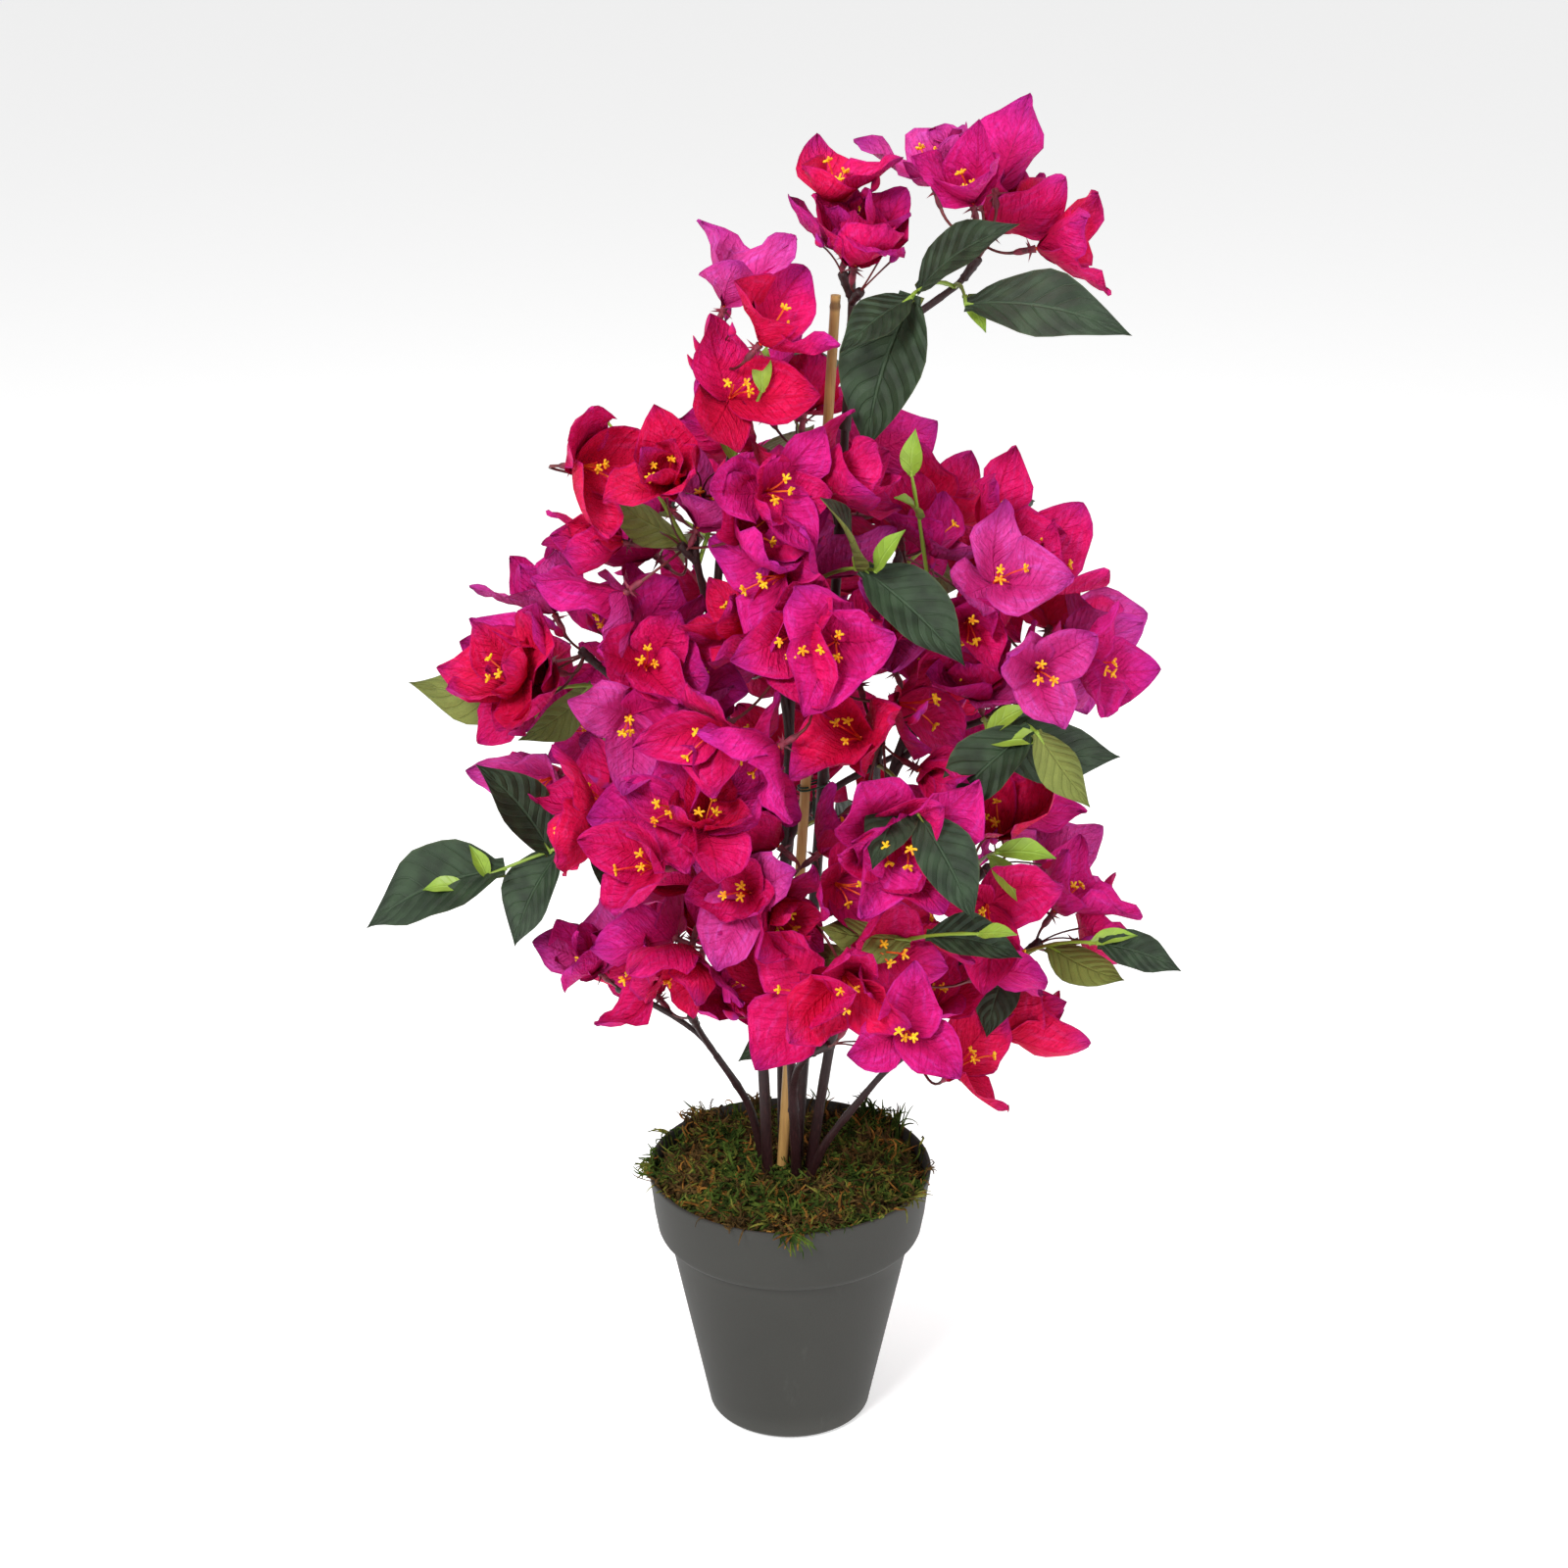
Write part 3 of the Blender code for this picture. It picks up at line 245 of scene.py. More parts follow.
class BougainvilleaSizes(PropertyGroup):
    """Sizes of the finished pieces"""
    bract_width: FloatProperty(
        name="Bract Width", subtype="FACTOR", default=0.45, min=0.25, max=0.55,
        description="Half width of a bract as a share of its length")
    leaf_width: FloatProperty(
        name="Leaf Width", subtype="FACTOR", default=0.27, min=0.15, max=0.4,
        description="Half width of a leaf as a share of its length")
    cloth_thickness: FloatProperty(
        name="Cloth Thickness", unit="LENGTH", default=0.0004, min=0.0002, max=0.001,
        precision=5, description="Thickness of the bracts' stiffened fabric")
    stamen_length: FloatProperty(
        name="Stamen Length", unit="LENGTH", default=0.019, min=0.01, max=0.03,
        precision=4, description="Mean reach of the stamens out of a flower's throat")
    double_flowers: FloatProperty(
        name="Double Flowers", subtype="FACTOR", default=0.30, min=0.0, max=1.0,
        description="Share of the flowers that have a second ring of bracts")
    inner_flowers: FloatProperty(
        name="Inner Flowers", subtype="FACTOR", default=0.28, min=0.0, max=2.0,
        description="Flowers deeper in each spray, as a share of its outer ones")
    moss_relief: FloatProperty(
        name="Moss Relief", unit="LENGTH", default=0.0030, min=0.0, max=0.006,
        precision=4, description="Height of the moss cushion's bumps")
    moss_curls: IntProperty(
        name="Moss Curls", default=2700, min=0, max=6000,
        description="Number of loose strands that lie on the moss")
    moss_sprigs: IntProperty(
        name="Moss Sprigs", default=620, min=0, max=4000,
        description="Number of feathery sprigs in the moss")


class BougainvilleaColours(PropertyGroup):
    """Colours of the finished pieces"""
    crimson: colour_setting("Crimson", "Reddest bracts", (0.74, 0.004, 0.076))
    rose: colour_setting("Rose", "Rose-red bracts", (0.72, 0.006, 0.132))
    magenta: colour_setting("Magenta", "Magenta bracts", (0.69, 0.011, 0.215))
    orchid: colour_setting("Orchid", "Pink bracts", (0.70, 0.050, 0.320))
    violet: colour_setting("Violet", "Purple of the bracts' tips", (0.42, 0.020, 0.310))
    leaf_green: colour_setting("Leaf Green", "Upper side of the leaves", (0.022, 0.042, 0.019))
    leaf_back: colour_setting("Leaf Back", "Underside of the leaves", (0.200, 0.235, 0.045))
    shoot_green: colour_setting("Shoot Green", "Leaf shoots and leaflets", (0.240, 0.370, 0.040))
    stem_maroon: colour_setting("Stem Maroon", "Moulded stems", (0.022, 0.006, 0.007))
    pot_grey: colour_setting("Pot Grey", "Plastic of the pot", (0.037, 0.037, 0.033))


def sizes():
    return bpy.context.scene.bougainvillea_sizes


def colours():
    return bpy.context.scene.bougainvillea_colours


# ------------------------------------------------------------------ finishes
class Channel:
    """An output of a node in a finish. Arithmetic on it adds Math nodes."""

    def __init__(self, finish, socket):
        self.finish = finish
        self.socket = socket

    def __add__(self, other):
        return self.finish.maths("ADD", self, other)

    __radd__ = __add__

    def __mul__(self, other):
        return self.finish.maths("MULTIPLY", self, other)

    __rmul__ = __mul__

    def __sub__(self, other):
        return self.finish.maths("SUBTRACT", self, other)

    def __rsub__(self, other):
        return self.finish.maths("SUBTRACT", other, self)

    def __truediv__(self, other):
        return self.finish.maths("DIVIDE", self, other)

    def __abs__(self):
        return self.finish.maths("ABSOLUTE", self)


class Finish:
    """A material in the making: its shader and the nodes that feed it."""

    def __init__(self, name, **constants):
        self.material = bpy.data.materials.new(name)
        self.material.use_nodes = True
        self.nodes = self.material.node_tree.nodes
        self.links = self.material.node_tree.links
        self.shader = self.nodes["Principled BSDF"]
        for socket, value in constants.items():
            self.feed(self.shader.inputs[socket.replace("_", " ")], value)

    def feed(self, socket, value):
        """Links a socket, or sets it; a colour is given as red, green and blue."""
        if isinstance(value, Channel):
            self.links.new(value.socket, socket)
        elif socket.type == "RGBA":
            socket.default_value = (*value[:3], 1.0)
        else:
            socket.default_value = value

    def add(self, kind, settings=None, values=None, output=0):
        """Adds a node: its settings first, then the values or links of its sockets."""
        node = self.nodes.new(kind)
        for name, value in (settings or {}).items():
            setattr(node, name, value)
        for name, value in (values or {}).items():
            self.feed(node.inputs[name], value)
        return Channel(self, node.outputs[output])

    def maths(self, operation, *values):
        return self.add("ShaderNodeMath", {"operation": operation}, dict(enumerate(values)))

    def parts(self, vector):
        """The three numbers of a vector."""
        first = self.add("ShaderNodeSeparateXYZ", None, {0: vector})
        return [Channel(self, socket) for socket in first.socket.node.outputs]

    def vector(self, x, y, z):
        return self.add("ShaderNodeCombineXYZ", None, {0: x, 1: y, 2: z})

    def place(self, scale=(1.0, 1.0, 1.0)):
        """The spot on the piece, stretched by scale."""
        spot = self.add("ShaderNodeTexCoord", output="Object")
        return self.add("ShaderNodeMapping", None, {"Vector": spot, "Scale": scale})

    def noise(self, spot, scale, detail=2.0, roughness=0.5):
        return self.add("ShaderNodeTexNoise", None, {
            "Vector": spot, "Scale": scale, "Detail": detail, "Roughness": roughness})

    def mix(self, share, one, other):
        return self.add("ShaderNodeMix", {"data_type": "RGBA"}, {0: share, 6: one, 7: other}, 2)

    def coats(self, colour, *coats):
        """A colour under coats of others, each given as (share, colour)."""
        for share, coat in coats:
            colour = self.mix(share, colour, coat)
        return colour

    def rise(self, value, low, high):
        """0 below low, 1 above high, and a smooth rise between."""
        return self.add("ShaderNodeMapRange", {"interpolation_type": "SMOOTHSTEP"},
                        {0: value, 1: low, 2: high, 3: 0.0, 4: 1.0})

    def paint(self, colour, roughness=None):
        self.feed(self.shader.inputs["Base Color"], colour)
        if roughness is not None:
            self.feed(self.shader.inputs["Roughness"], roughness)
        return self

    def relief(self, height, depth, strength=1.0):
        """Bumps of this height field, depth metres from lowest to highest."""
        normal = self.add("ShaderNodeBump", None, {
            "Height": height, "Distance": depth, "Strength": strength})
        self.feed(self.shader.inputs["Normal"], normal)
        return self

    def blade(self, variants):
        """On a blade: share of its length, -1 to 1 across, 1 on its back, and its variant."""
        u, v, _ = self.parts(self.add("ShaderNodeUVMap", {"uv_map": BLADE_MAP}))
        spread = u * variants
        variant = self.maths("FLOOR", spread)
        along = (spread - variant - BLADE_MARGIN) / (1.0 - 2 * BLADE_MARGIN)
        back = self.maths("GREATER_THAN", v, 0.5)
        across = (v - 0.25 - back * 0.5) / BLADE_HALF
        return along, across, back, variant


def shade(colour, factor, lift=0.0):
    """A colour made lighter or darker."""
    return tuple(c * factor + lift for c in colour)


def mottled(name, specular, cloud, fine, rise, dark, light, roughness, depth, fleck=None):
    """A plain finish: clouds of two shades, and fine flecks of a third.

    cloud and fine are (scale, detail) of the noises, rise how sharp the clouds are,
    and fleck the flecks' colour and share, with where they begin and end.
    """
    finish = Finish(name, Specular_IOR_Level=specular)
    clouds = finish.noise(finish.place(), *cloud)
    grain = finish.noise(finish.place(), *fine)
    colour = finish.mix(finish.rise(clouds, *rise), dark, light)
    if fleck:
        fleck_colour, share, *ends = fleck
        colour = finish.mix((finish.rise(grain, *ends) if ends else grain) * share, colour,
                            fleck_colour)
    finish.paint(colour, roughness + 0.2 * grain)
    return finish.relief(grain, depth)


# ---------------------------------------------------------------- closed forms in arrays
BLADE_MAP = "OFBake"
BLADE_MARGIN = 0.02             # of the map's length, left free at a blade's foot and tip
BLADE_HALF = 0.23               # of the map's height, for half the width of one side
# The front takes the lower half of the map's height and the back the upper half.


def unit(vectors):
    return vectors / np.maximum(np.linalg.norm(vectors, axis=-1, keepdims=True), 1e-12)


def rows_of(vectors):
    return np.array([tuple(v) for v in vectors], dtype=float)


def hint_for(ways):
    """A way that is far from each of the ways: X for steep ones, Z for the rest."""
    return np.where(np.abs(ways[:, 2:3]) > 0.9, [[1.0, 0.0, 0.0]], [[0.0, 0.0, 1.0]])


def draws(seeds, count):
    """Seeded numbers from 0 to 1, as (count, seeds, 1, 1)."""
    rows = [[random.Random(f"{seed} {n}").random() for n in range(count)] for seed in seeds]
    return np.array(rows).T[:, :, None, None]


def placed(root, along, across, face, x, y, z):
    """Points at x along, y across and z up from blades' roots."""
    root, along, across, face = (rows[:, None, None] for rows in (root, along, across, face))
    return root + along * x[..., None] + across * y[..., None] + face * z[..., None]


class Shape:
    """Closed forms gathered into one mesh."""

    def __init__(self):
        self.corners, self.faces, self.maps, self.count = [], [], [], 0

    def add(self, corners, faces, maps=None):
        """corners: (forms, corners, 3); faces: arrays of one form's faces; maps: their (u, v)."""
        forms, per_form, _ = corners.shape
        starts = self.count + per_form * np.arange(forms)
        for number, part in enumerate(faces):
            part = np.asarray(part)
            self.faces.append((part[None] + starts[:, None, None]).reshape(-1, part.shape[1]))
            if maps is not None:
                self.maps.append(maps[number].reshape(-1, 2))
        self.corners.append(corners.reshape(-1, 3))
        self.count += forms * per_form

    def mesh(self, name):
        mesh = bpy.data.meshes.new(name)
        corners = np.concatenate(self.corners)
        loops = np.concatenate([part.ravel() for part in self.faces])
        sizes = np.concatenate([np.full(len(part), part.shape[1]) for part in self.faces])
        mesh.vertices.add(len(corners))
        mesh.vertices.foreach_set("co", corners.ravel())
        mesh.loops.add(len(loops))
        mesh.loops.foreach_set("vertex_index", loops)
        mesh.polygons.add(len(sizes))
        mesh.polygons.foreach_set("loop_start", np.concatenate(([0], np.cumsum(sizes)[:-1])))
        if self.maps:
            layer = mesh.uv_layers.new(name=BLADE_MAP)
            layer.data.foreach_set("uv", np.concatenate(self.maps).ravel())
        mesh.update(calc_edges=True)
        if mesh.validate():
            raise RuntimeError(f"{name} had faces that aren't sound")
        return mesh


def add_tubes(shape, paths, radii, sides, bulge=0.0):
    """Closed tubes round paths of equally many points.

    radii: one for each point, or for each tube and point, or for each tube, point and
    side. bulge rounds the tubes' ends by that many radii.
    """
    paths = np.array([rows_of(path) for path in paths])
    radii = np.asarray(radii, dtype=float)
    if radii.ndim == 1:
        radii = np.repeat(radii[None], len(paths), axis=0)
    if radii.ndim == 2:
        radii = np.repeat(radii[:, :, None], sides, axis=2)
    tubes, points, _ = paths.shape
    steps = unit(np.diff(paths, axis=1))
    aims = unit(np.concatenate([steps[:, :1], steps[:, :-1] + steps[:, 1:], steps[:, -1:]], axis=1))
    side = hint_for(aims[:, 0])
    rings = np.empty((tubes, points, sides, 3))
    angles = np.arange(sides) * (math.tau / sides)
    for k in range(points):
        aim = aims[:, k]
        side = unit(side - aim * (side * aim).sum(axis=1, keepdims=True))
        other = np.cross(aim, side)
        ring = (side[:, None] * np.cos(angles)[None, :, None]
                + other[:, None] * np.sin(angles)[None, :, None])
        rings[:, k] = paths[:, k, None] + ring * radii[:, k, :, None]
    ends = np.stack([paths[:, 0] - aims[:, 0] * radii[:, 0, :1] * bulge,
                     paths[:, -1] + aims[:, -1] * radii[:, -1, :1] * bulge], axis=1)
    corners = np.concatenate([rings.reshape(tubes, points * sides, 3), ends], axis=1)
    k, s = np.meshgrid(np.arange(points - 1), np.arange(sides), indexing="ij")
    a = (k * sides + s).ravel()
    b = (k * sides + (s + 1) % sides).ravel()
    round_s = np.arange(sides)
    after = (round_s + 1) % sides
    last = (points - 1) * sides
    foot = np.stack([np.full(sides, points * sides), after, round_s], axis=1)
    head = np.stack([np.full(sides, points * sides + 1), last + round_s, last + after], axis=1)
    shape.add(corners, [np.stack([a, b, b + sides, a + sides], axis=1),
                        np.concatenate([foot, head])])


@functools.lru_cache(maxsize=None)
def blade_template(steps, columns):
    """A blade's faces and their map, front and back.

    steps are the rows' shares of the length, from the foot on; columns run across.
    The front and the back share the edge; the tip is one corner.
    """
    rows = len(steps)
    across = columns + 1
    front = rows * across
    tip = front

    def f(i, j):
        return i * across + j

    def b(i, j):
        on_edge = i == 0 or j == 0 or j == columns
        return f(i, j) if on_edge else front + 1 + (i - 1) * (columns - 1) + (j - 1)

    def spot(i, j, back):
        u = BLADE_MARGIN + (1.0 - 2 * BLADE_MARGIN) * (steps[i] if i < rows else 1.0)
        return u, 0.25 + 0.5 * back + BLADE_HALF * (2.0 * j / columns - 1.0)

    quads, quad_map, corners, corner_map = [], [], [], []
    for j in range(columns):
        for i in range(rows - 1):
            ring = ((i, j), (i + 1, j), (i + 1, j + 1), (i, j + 1))
            behind = (ring[2], ring[1], ring[0], ring[3])
            quads.append([f(*c) for c in ring])
            quad_map.append([spot(*c, 0) for c in ring])
            quads.append([b(*c) for c in behind])
            quad_map.append([spot(*c, 1) for c in behind])
        last = rows - 1
        corners.append([f(last, j), tip, f(last, j + 1)])
        corner_map.append([spot(last, j, 0), spot(rows, j + 0.5, 0), spot(last, j + 1, 0)])
        corners.append([b(last, j + 1), tip, b(last, j)])
        corner_map.append([spot(last, j + 1, 1), spot(rows, j + 0.5, 1), spot(last, j, 1)])
    return (np.array(quads), np.array(corners), np.array(quad_map), np.array(corner_map))


def add_blades(shape, grids, tips, inners, thickness, steps, columns, variants, chosen):
    """Closed blades from grids (blades, rows, columns + 1, 3) and tips (blades, 3).

    inners are the ways their fronts face; chosen is each blade's variant of the print.
    """
    quads, corners, quad_map, corner_map = blade_template(tuple(steps), columns)
    blades = len(grids)
    behind = grids[:, 1:, 1:-1] - inners[:, None, None] * thickness
    points = np.concatenate([grids.reshape(blades, -1, 3), tips[:, None],
                             behind.reshape(blades, -1, 3)], axis=1)
    maps = []
    for part in (quad_map, corner_map):
        spots = np.repeat(part[None], blades, axis=0)
        spots[..., 0] = (spots[..., 0] + chosen[:, None, None]) / variants
        maps.append(spots)
    shape.add(points, [quads, corners], maps)


# ------------------------------------------------------------------- pieces and stage
def deselect():
    bpy.ops.object.select_all(action="DESELECT")


def finish_piece(obj, finish, nodes=(), angle=40.0):
    """Gives a finished mesh its material, shading and place in the model."""
    obj.data.materials.clear()
    obj.data.materials.append(finish.material)
    deselect()
    obj.select_set(True)
    bpy.context.view_layer.objects.active = obj
    bpy.ops.object.shade_smooth_by_angle(angle=math.radians(angle))
    obj.select_set(False)
    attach(obj, "root")
    if nodes:
        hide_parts(*nodes)
    return obj


def show(name, shape, finish, nodes=(), angle=60.0):
    """Makes a finished piece of gathered forms."""
    return finish_piece(object_of(name, shape.mesh(name)), finish, nodes, angle)


def object_of(name, mesh):
    obj = bpy.data.objects.new(name, mesh)
    bpy.context.scene.collection.objects.link(obj)
    return obj


def turned(name, profile, sides):
    """A closed body drawn out ring by ring from a profile of (radius, height).

    It starts on the underside and ends facing up.
    """
    deselect()
    radius, height = profile[0]
    bpy.ops.mesh.primitive_circle_add(vertices=sides, radius=radius, fill_type="NGON",
                                      location=(0.0, 0.0, height))
    obj = bpy.context.object
    obj.name = obj.data.name = name
    bpy.ops.object.mode_set(mode="EDIT")
    bpy.ops.mesh.select_all(action="SELECT")
    for next_radius, next_height in profile[1:]:
        bpy.ops.mesh.extrude_region_move(
            TRANSFORM_OT_translate={"value": (0.0, 0.0, next_height - height)})
        share = next_radius / radius
        bpy.ops.transform.resize(value=(share, share, 1.0), center_override=(0.0, 0.0, next_height))
        radius, height = next_radius, next_height
    bpy.ops.object.mode_set(mode="OBJECT")
    bpy.ops.object.transform_apply(location=True, rotation=True, scale=True)
    return obj


# ------------------------------------------------------------ routes and the growth rule
def bezier(start, bend, end, count):
    """count points along the quadratic curve from start to end."""
    steps = [i / (count - 1) for i in range(count)]
    return [start * (1 - t) ** 2 + bend * 2 * t * (1 - t) + end * t * t for t in steps]


def smooth_route(points, per_span):
    """A smooth run through the points, per_span steps between each two."""
    ends = [points[0] * 2 - points[1]] + points + [points[-1] * 2 - points[-2]]
    route = []
    for a, b, c, d in zip(ends, ends[1:], ends[2:], ends[3:]):
        for i in range(per_span):
            t = i / per_span
            route.append(0.5 * (b * 2 + (c - a) * t + (a * 2 - b * 5 + c * 4 - d) * t ** 2
                                + (b * 3 - a - c * 3 + d) * t ** 3))
    return route + [points[-1]]


def at_height(route, z):
    """The point of a rising route at this height, and its direction there."""
    for a, b in zip(route, route[1:]):
        if a.z <= z <= b.z:
            return a.lerp(b, (z - a.z) / (b.z - a.z)), (b - a).normalized()
    return route[-1], (route[-1] - route[-2]).normalized()


def square_to(axis, hint):
    """The unit vector nearest hint that is square to axis."""
    return (hint - axis * hint.dot(axis)).normalized()


def radial_at(axis, turn):
    """The unit vector square to axis at this turn round it."""
    zero = square_to(axis, BRACT_ZERO)
    return zero * math.cos(turn) + axis.cross(zero) * math.sin(turn)


def axes_of(hub, middle):
    """A spray's axis, and the two ways square to it."""
    axis = (middle - hub).normalized()
    side = square_to(axis, SPRAY_HINT)
    return axis, side, axis.cross(side)


def any_way(rng):
    return Vector((rng.uniform(-1, 1), rng.uniform(-1, 1), rng.uniform(-1, 1)))


def middle_of(sprays):
    return sum((Vector(spray[0]) for spray in sprays), Vector()) / len(sprays)


@functools.lru_cache(maxsize=None)
def limb_routes():
    """Each stem's and bough's corners, and its radius at foot and at tip."""
    limbs = {}
    for name, (foot, points, r_foot, r_tip) in STEMS.items():
        route = smooth_route([Vector((*foot, GROUND_Z))] + [Vector(p) for p in points], 2)
        route[0].z = GROUND_Z
        limbs[name] = (route, r_foot, r_tip)
    for mass, (parent, height, sprays) in MASSES.items():
        if height is None:
            continue
        start, rising = at_height(limbs[parent][0], height)
        target = middle_of(sprays)
        tip = target + (start - target).normalized() * MASS_REACH
        span = (tip - start).length
        bend = start + (rising * 0.6 + UP * 0.2).normalized() * span * 0.45
        limbs["bough_" + mass] = (bezier(start, bend, tip, 5), BOUGH_R, STEM_R)
    return limbs


def heading_vector(heading, rise):
    """Heading 0 points along +X and 90 along -Y."""
    turn, lift = math.radians(heading), math.radians(rise)
    return Vector((math.cos(turn) * math.cos(lift), -math.sin(turn) * math.cos(lift),
                   math.sin(lift)))


def flower_plan(mass, number, count, hub, middle, spread, attempt):
    """Where one flower sits and how it opens, by a seeded rule."""
    rng = random.Random(f"{mass} {number} {attempt}")
    axis, side, other = axes_of(hub, middle)
    loose = 1.0 + 0.04 * attempt
    ring = spread * math.sqrt((number % 10 + 0.5) / count) * rng.uniform(0.85, 1.1) * loose
    turn = math.radians(GOLDEN_TURN * number + 360.0 * rng.random() * (0.15 + 0.03 * attempt))
    throat = (middle + side * (ring * math.cos(turn)) + other * (ring * math.sin(turn))
              - axis * (0.30 * ring + 0.004 * loose * rng.uniform(-1.0, 1.0)))
    throat -= axis * BRACT_LENGTH * 0.35
    facing = (throat - hub).normalized() + axis * 0.35 + UP * 0.12
    facing += any_way(rng) * 0.22
    facing.normalize()
    start_turn = rng.uniform(0.0, math.tau)
    bracts = []
    for n in range(3):
        around = start_turn + math.tau * (n / 3 - 1 / 12) + rng.uniform(-0.07, 0.07)
        opening = math.radians(rng.uniform(*BRACT_OPENING))
        length = BRACT_LENGTH * rng.uniform(0.88, 1.10)
        bracts.append((around, opening, length))
    return throat, facing, start_turn, bracts


def bract_frame(facing, around, opening):
    """A bract's direction, the way across it and its inner side."""
    radial = radial_at(facing, around)
    along = facing * math.cos(opening) + radial * math.sin(opening)
    inner = facing * math.sin(opening) - radial * math.cos(opening)
    return along, inner.cross(along), inner


def mass_stems(limb, sprays):
    """The stems of a mass, its sockets as (end, direction), and its fork.

    A stem is its start, fork, bend and end, and its radius.
    """
    route = limb_routes()[limb][0]
    out = (route[-1] - route[-2]).normalized()
    foot = route[-1] + out * GAP
    fork = foot + out * FORK_LENGTH
    stems, sockets = [], []
    for number, (middle, _, _) in enumerate(sprays):
        middle = Vector(middle)
        reach = min(SPRAY_REACH, (fork - middle).length * 0.62)
        hub = middle + (fork - middle).normalized() * reach
        bend = fork + out * (hub - fork).length * 0.35
        coarse = bezier(fork, bend, hub, 3)
        start = foot if number == 0 else fork - out * FORK_LENGTH * 0.25 * number
        stems.append((start, fork, bend, hub, STEM_R * (1.0 - 0.12 * number)))
        sockets.append((hub, (coarse[-1] - coarse[-2]).normalized()))
    return stems, sockets, fork


def wire_foot(socket, number, count):
    """Where a wire is fixed inside its socket."""
    hub, out = socket
    spread = 0.0 if count == 1 else SOCKET_R * 0.5
    return hub - out * 0.002 + radial_at(out, math.tau * number / count) * spread


def leaf_plan(name, shoot, leaf, attempt):
    """Where one leaf springs from its shoot and how it lies; each try strays further."""
    share, heading, rise, length, roll = leaf
    rng = random.Random(f"{name} {share} {heading} {attempt}")
    span = min(int(share * 3), 2)
    root = shoot[span].lerp(shoot[span + 1], share * 3 - span)
    heading += rng.uniform(-1.5, 1.5) * attempt
    rise += rng.uniform(-1.5, 1.5) * attempt
    along = heading_vector(heading, rise)
    face = square_to(along, UP + Vector((0.0, -0.6, 0.0)))
    face = Matrix.Rotation(math.radians(roll), 3, along) @ face
    return root - along * LEAF_SINK, along, face, length


@functools.lru_cache(maxsize=None)
def solid_of(name):
    """A search tree of a node's faces."""
    mesh = NODES[name].data
    corners = [v.co.copy() for v in mesh.vertices]
    return BVHTree.FromPolygons(corners, [tuple(p.vertices) for p in mesh.polygons])


def lies_on(solid, points, wanted):
    """True if at least wanted of the points lie on the solid."""
    return sum(solid.find_nearest(p)[3] < ON_SOLID for p in points) >= wanted


def seated_flower(name, number, socket, spray):
    """The try by which this flower was seated in its mass's solid, or nothing."""
    middle, spread, count = spray
    for attempt in range(TRIES):
        plan = flower_plan(name, number, count, socket[0], Vector(middle), spread, attempt)
        throat, facing, _, bracts = plan
        tips = []
        for around, opening, length in bracts:
            along, _, inner = bract_frame(facing, around, opening)
            tips.append(throat + along * length - inner * (BRACT_CURL * length))
        if lies_on(solid_of(name), tips, 2):
            return plan
    return None


def seated_leaf(name, shoot, leaf):
    """The try by which this leaf was seated in its mass's solid, or nothing."""
    for attempt in range(TRIES):
        root, along, face, length = leaf_plan(name, shoot, leaf, attempt)
        if lies_on(solid_of(name), [root + (along - face * LEAF_CURL) * length], 1):
            return root, along, face, length
    return None


def bract_spots(plan):
    """Points over a flower's bracts, to see how near they come to a leaf."""
    throat, facing, _, bracts = plan
    for around, opening, length in bracts:
        along, across, _ = bract_frame(facing, around, opening)
        for share, aside in ((0.5, 0.0), (0.5, -0.4), (0.5, 0.4), (0.8, -0.2), (0.8, 0.2),
                             (1.0, 0.0)):
            yield throat + (along * share + across * aside) * length


def leaf_gap(spot, leaf):
    """How far a point is from a leaf, taken as a flat pointed oval."""
    root, along, face, length = leaf
    away = spot - root
    reach = min(max(away.dot(along), 0.0), length)
    half = LEAF_OVAL * length * math.sin(math.pi * reach / length)
    across = face.cross(along)
    aside = min(max(away.dot(across), -half), half)
    return (away - along * reach - across * aside).length


def cane_at_tie():
    """The cane's middle at the tie's height."""
    foot, tip = Vector((*CANE_FOOT, GROUND_Z)), Vector(CANE_TIP)
    return foot.lerp(tip, (TIE_Z - foot.z) / (tip.z - foot.z))


def tie_window():
    """The space before the tie, where it shows between the flowers, as one more leaf."""
    tie = cane_at_tie()
    along = (Vector(CAMERA_PLACE) - tie).normalized()
    return tie, along, Vector((along.y, -along.x, 0.0)).normalized(), WINDOW_LENGTH


def leaf_room(plan, leaves):
    """How near a flower's bracts come to any leaf."""
    return min((leaf_gap(spot, leaf) for leaf in leaves for spot in bract_spots(plan)),
               default=1.0)


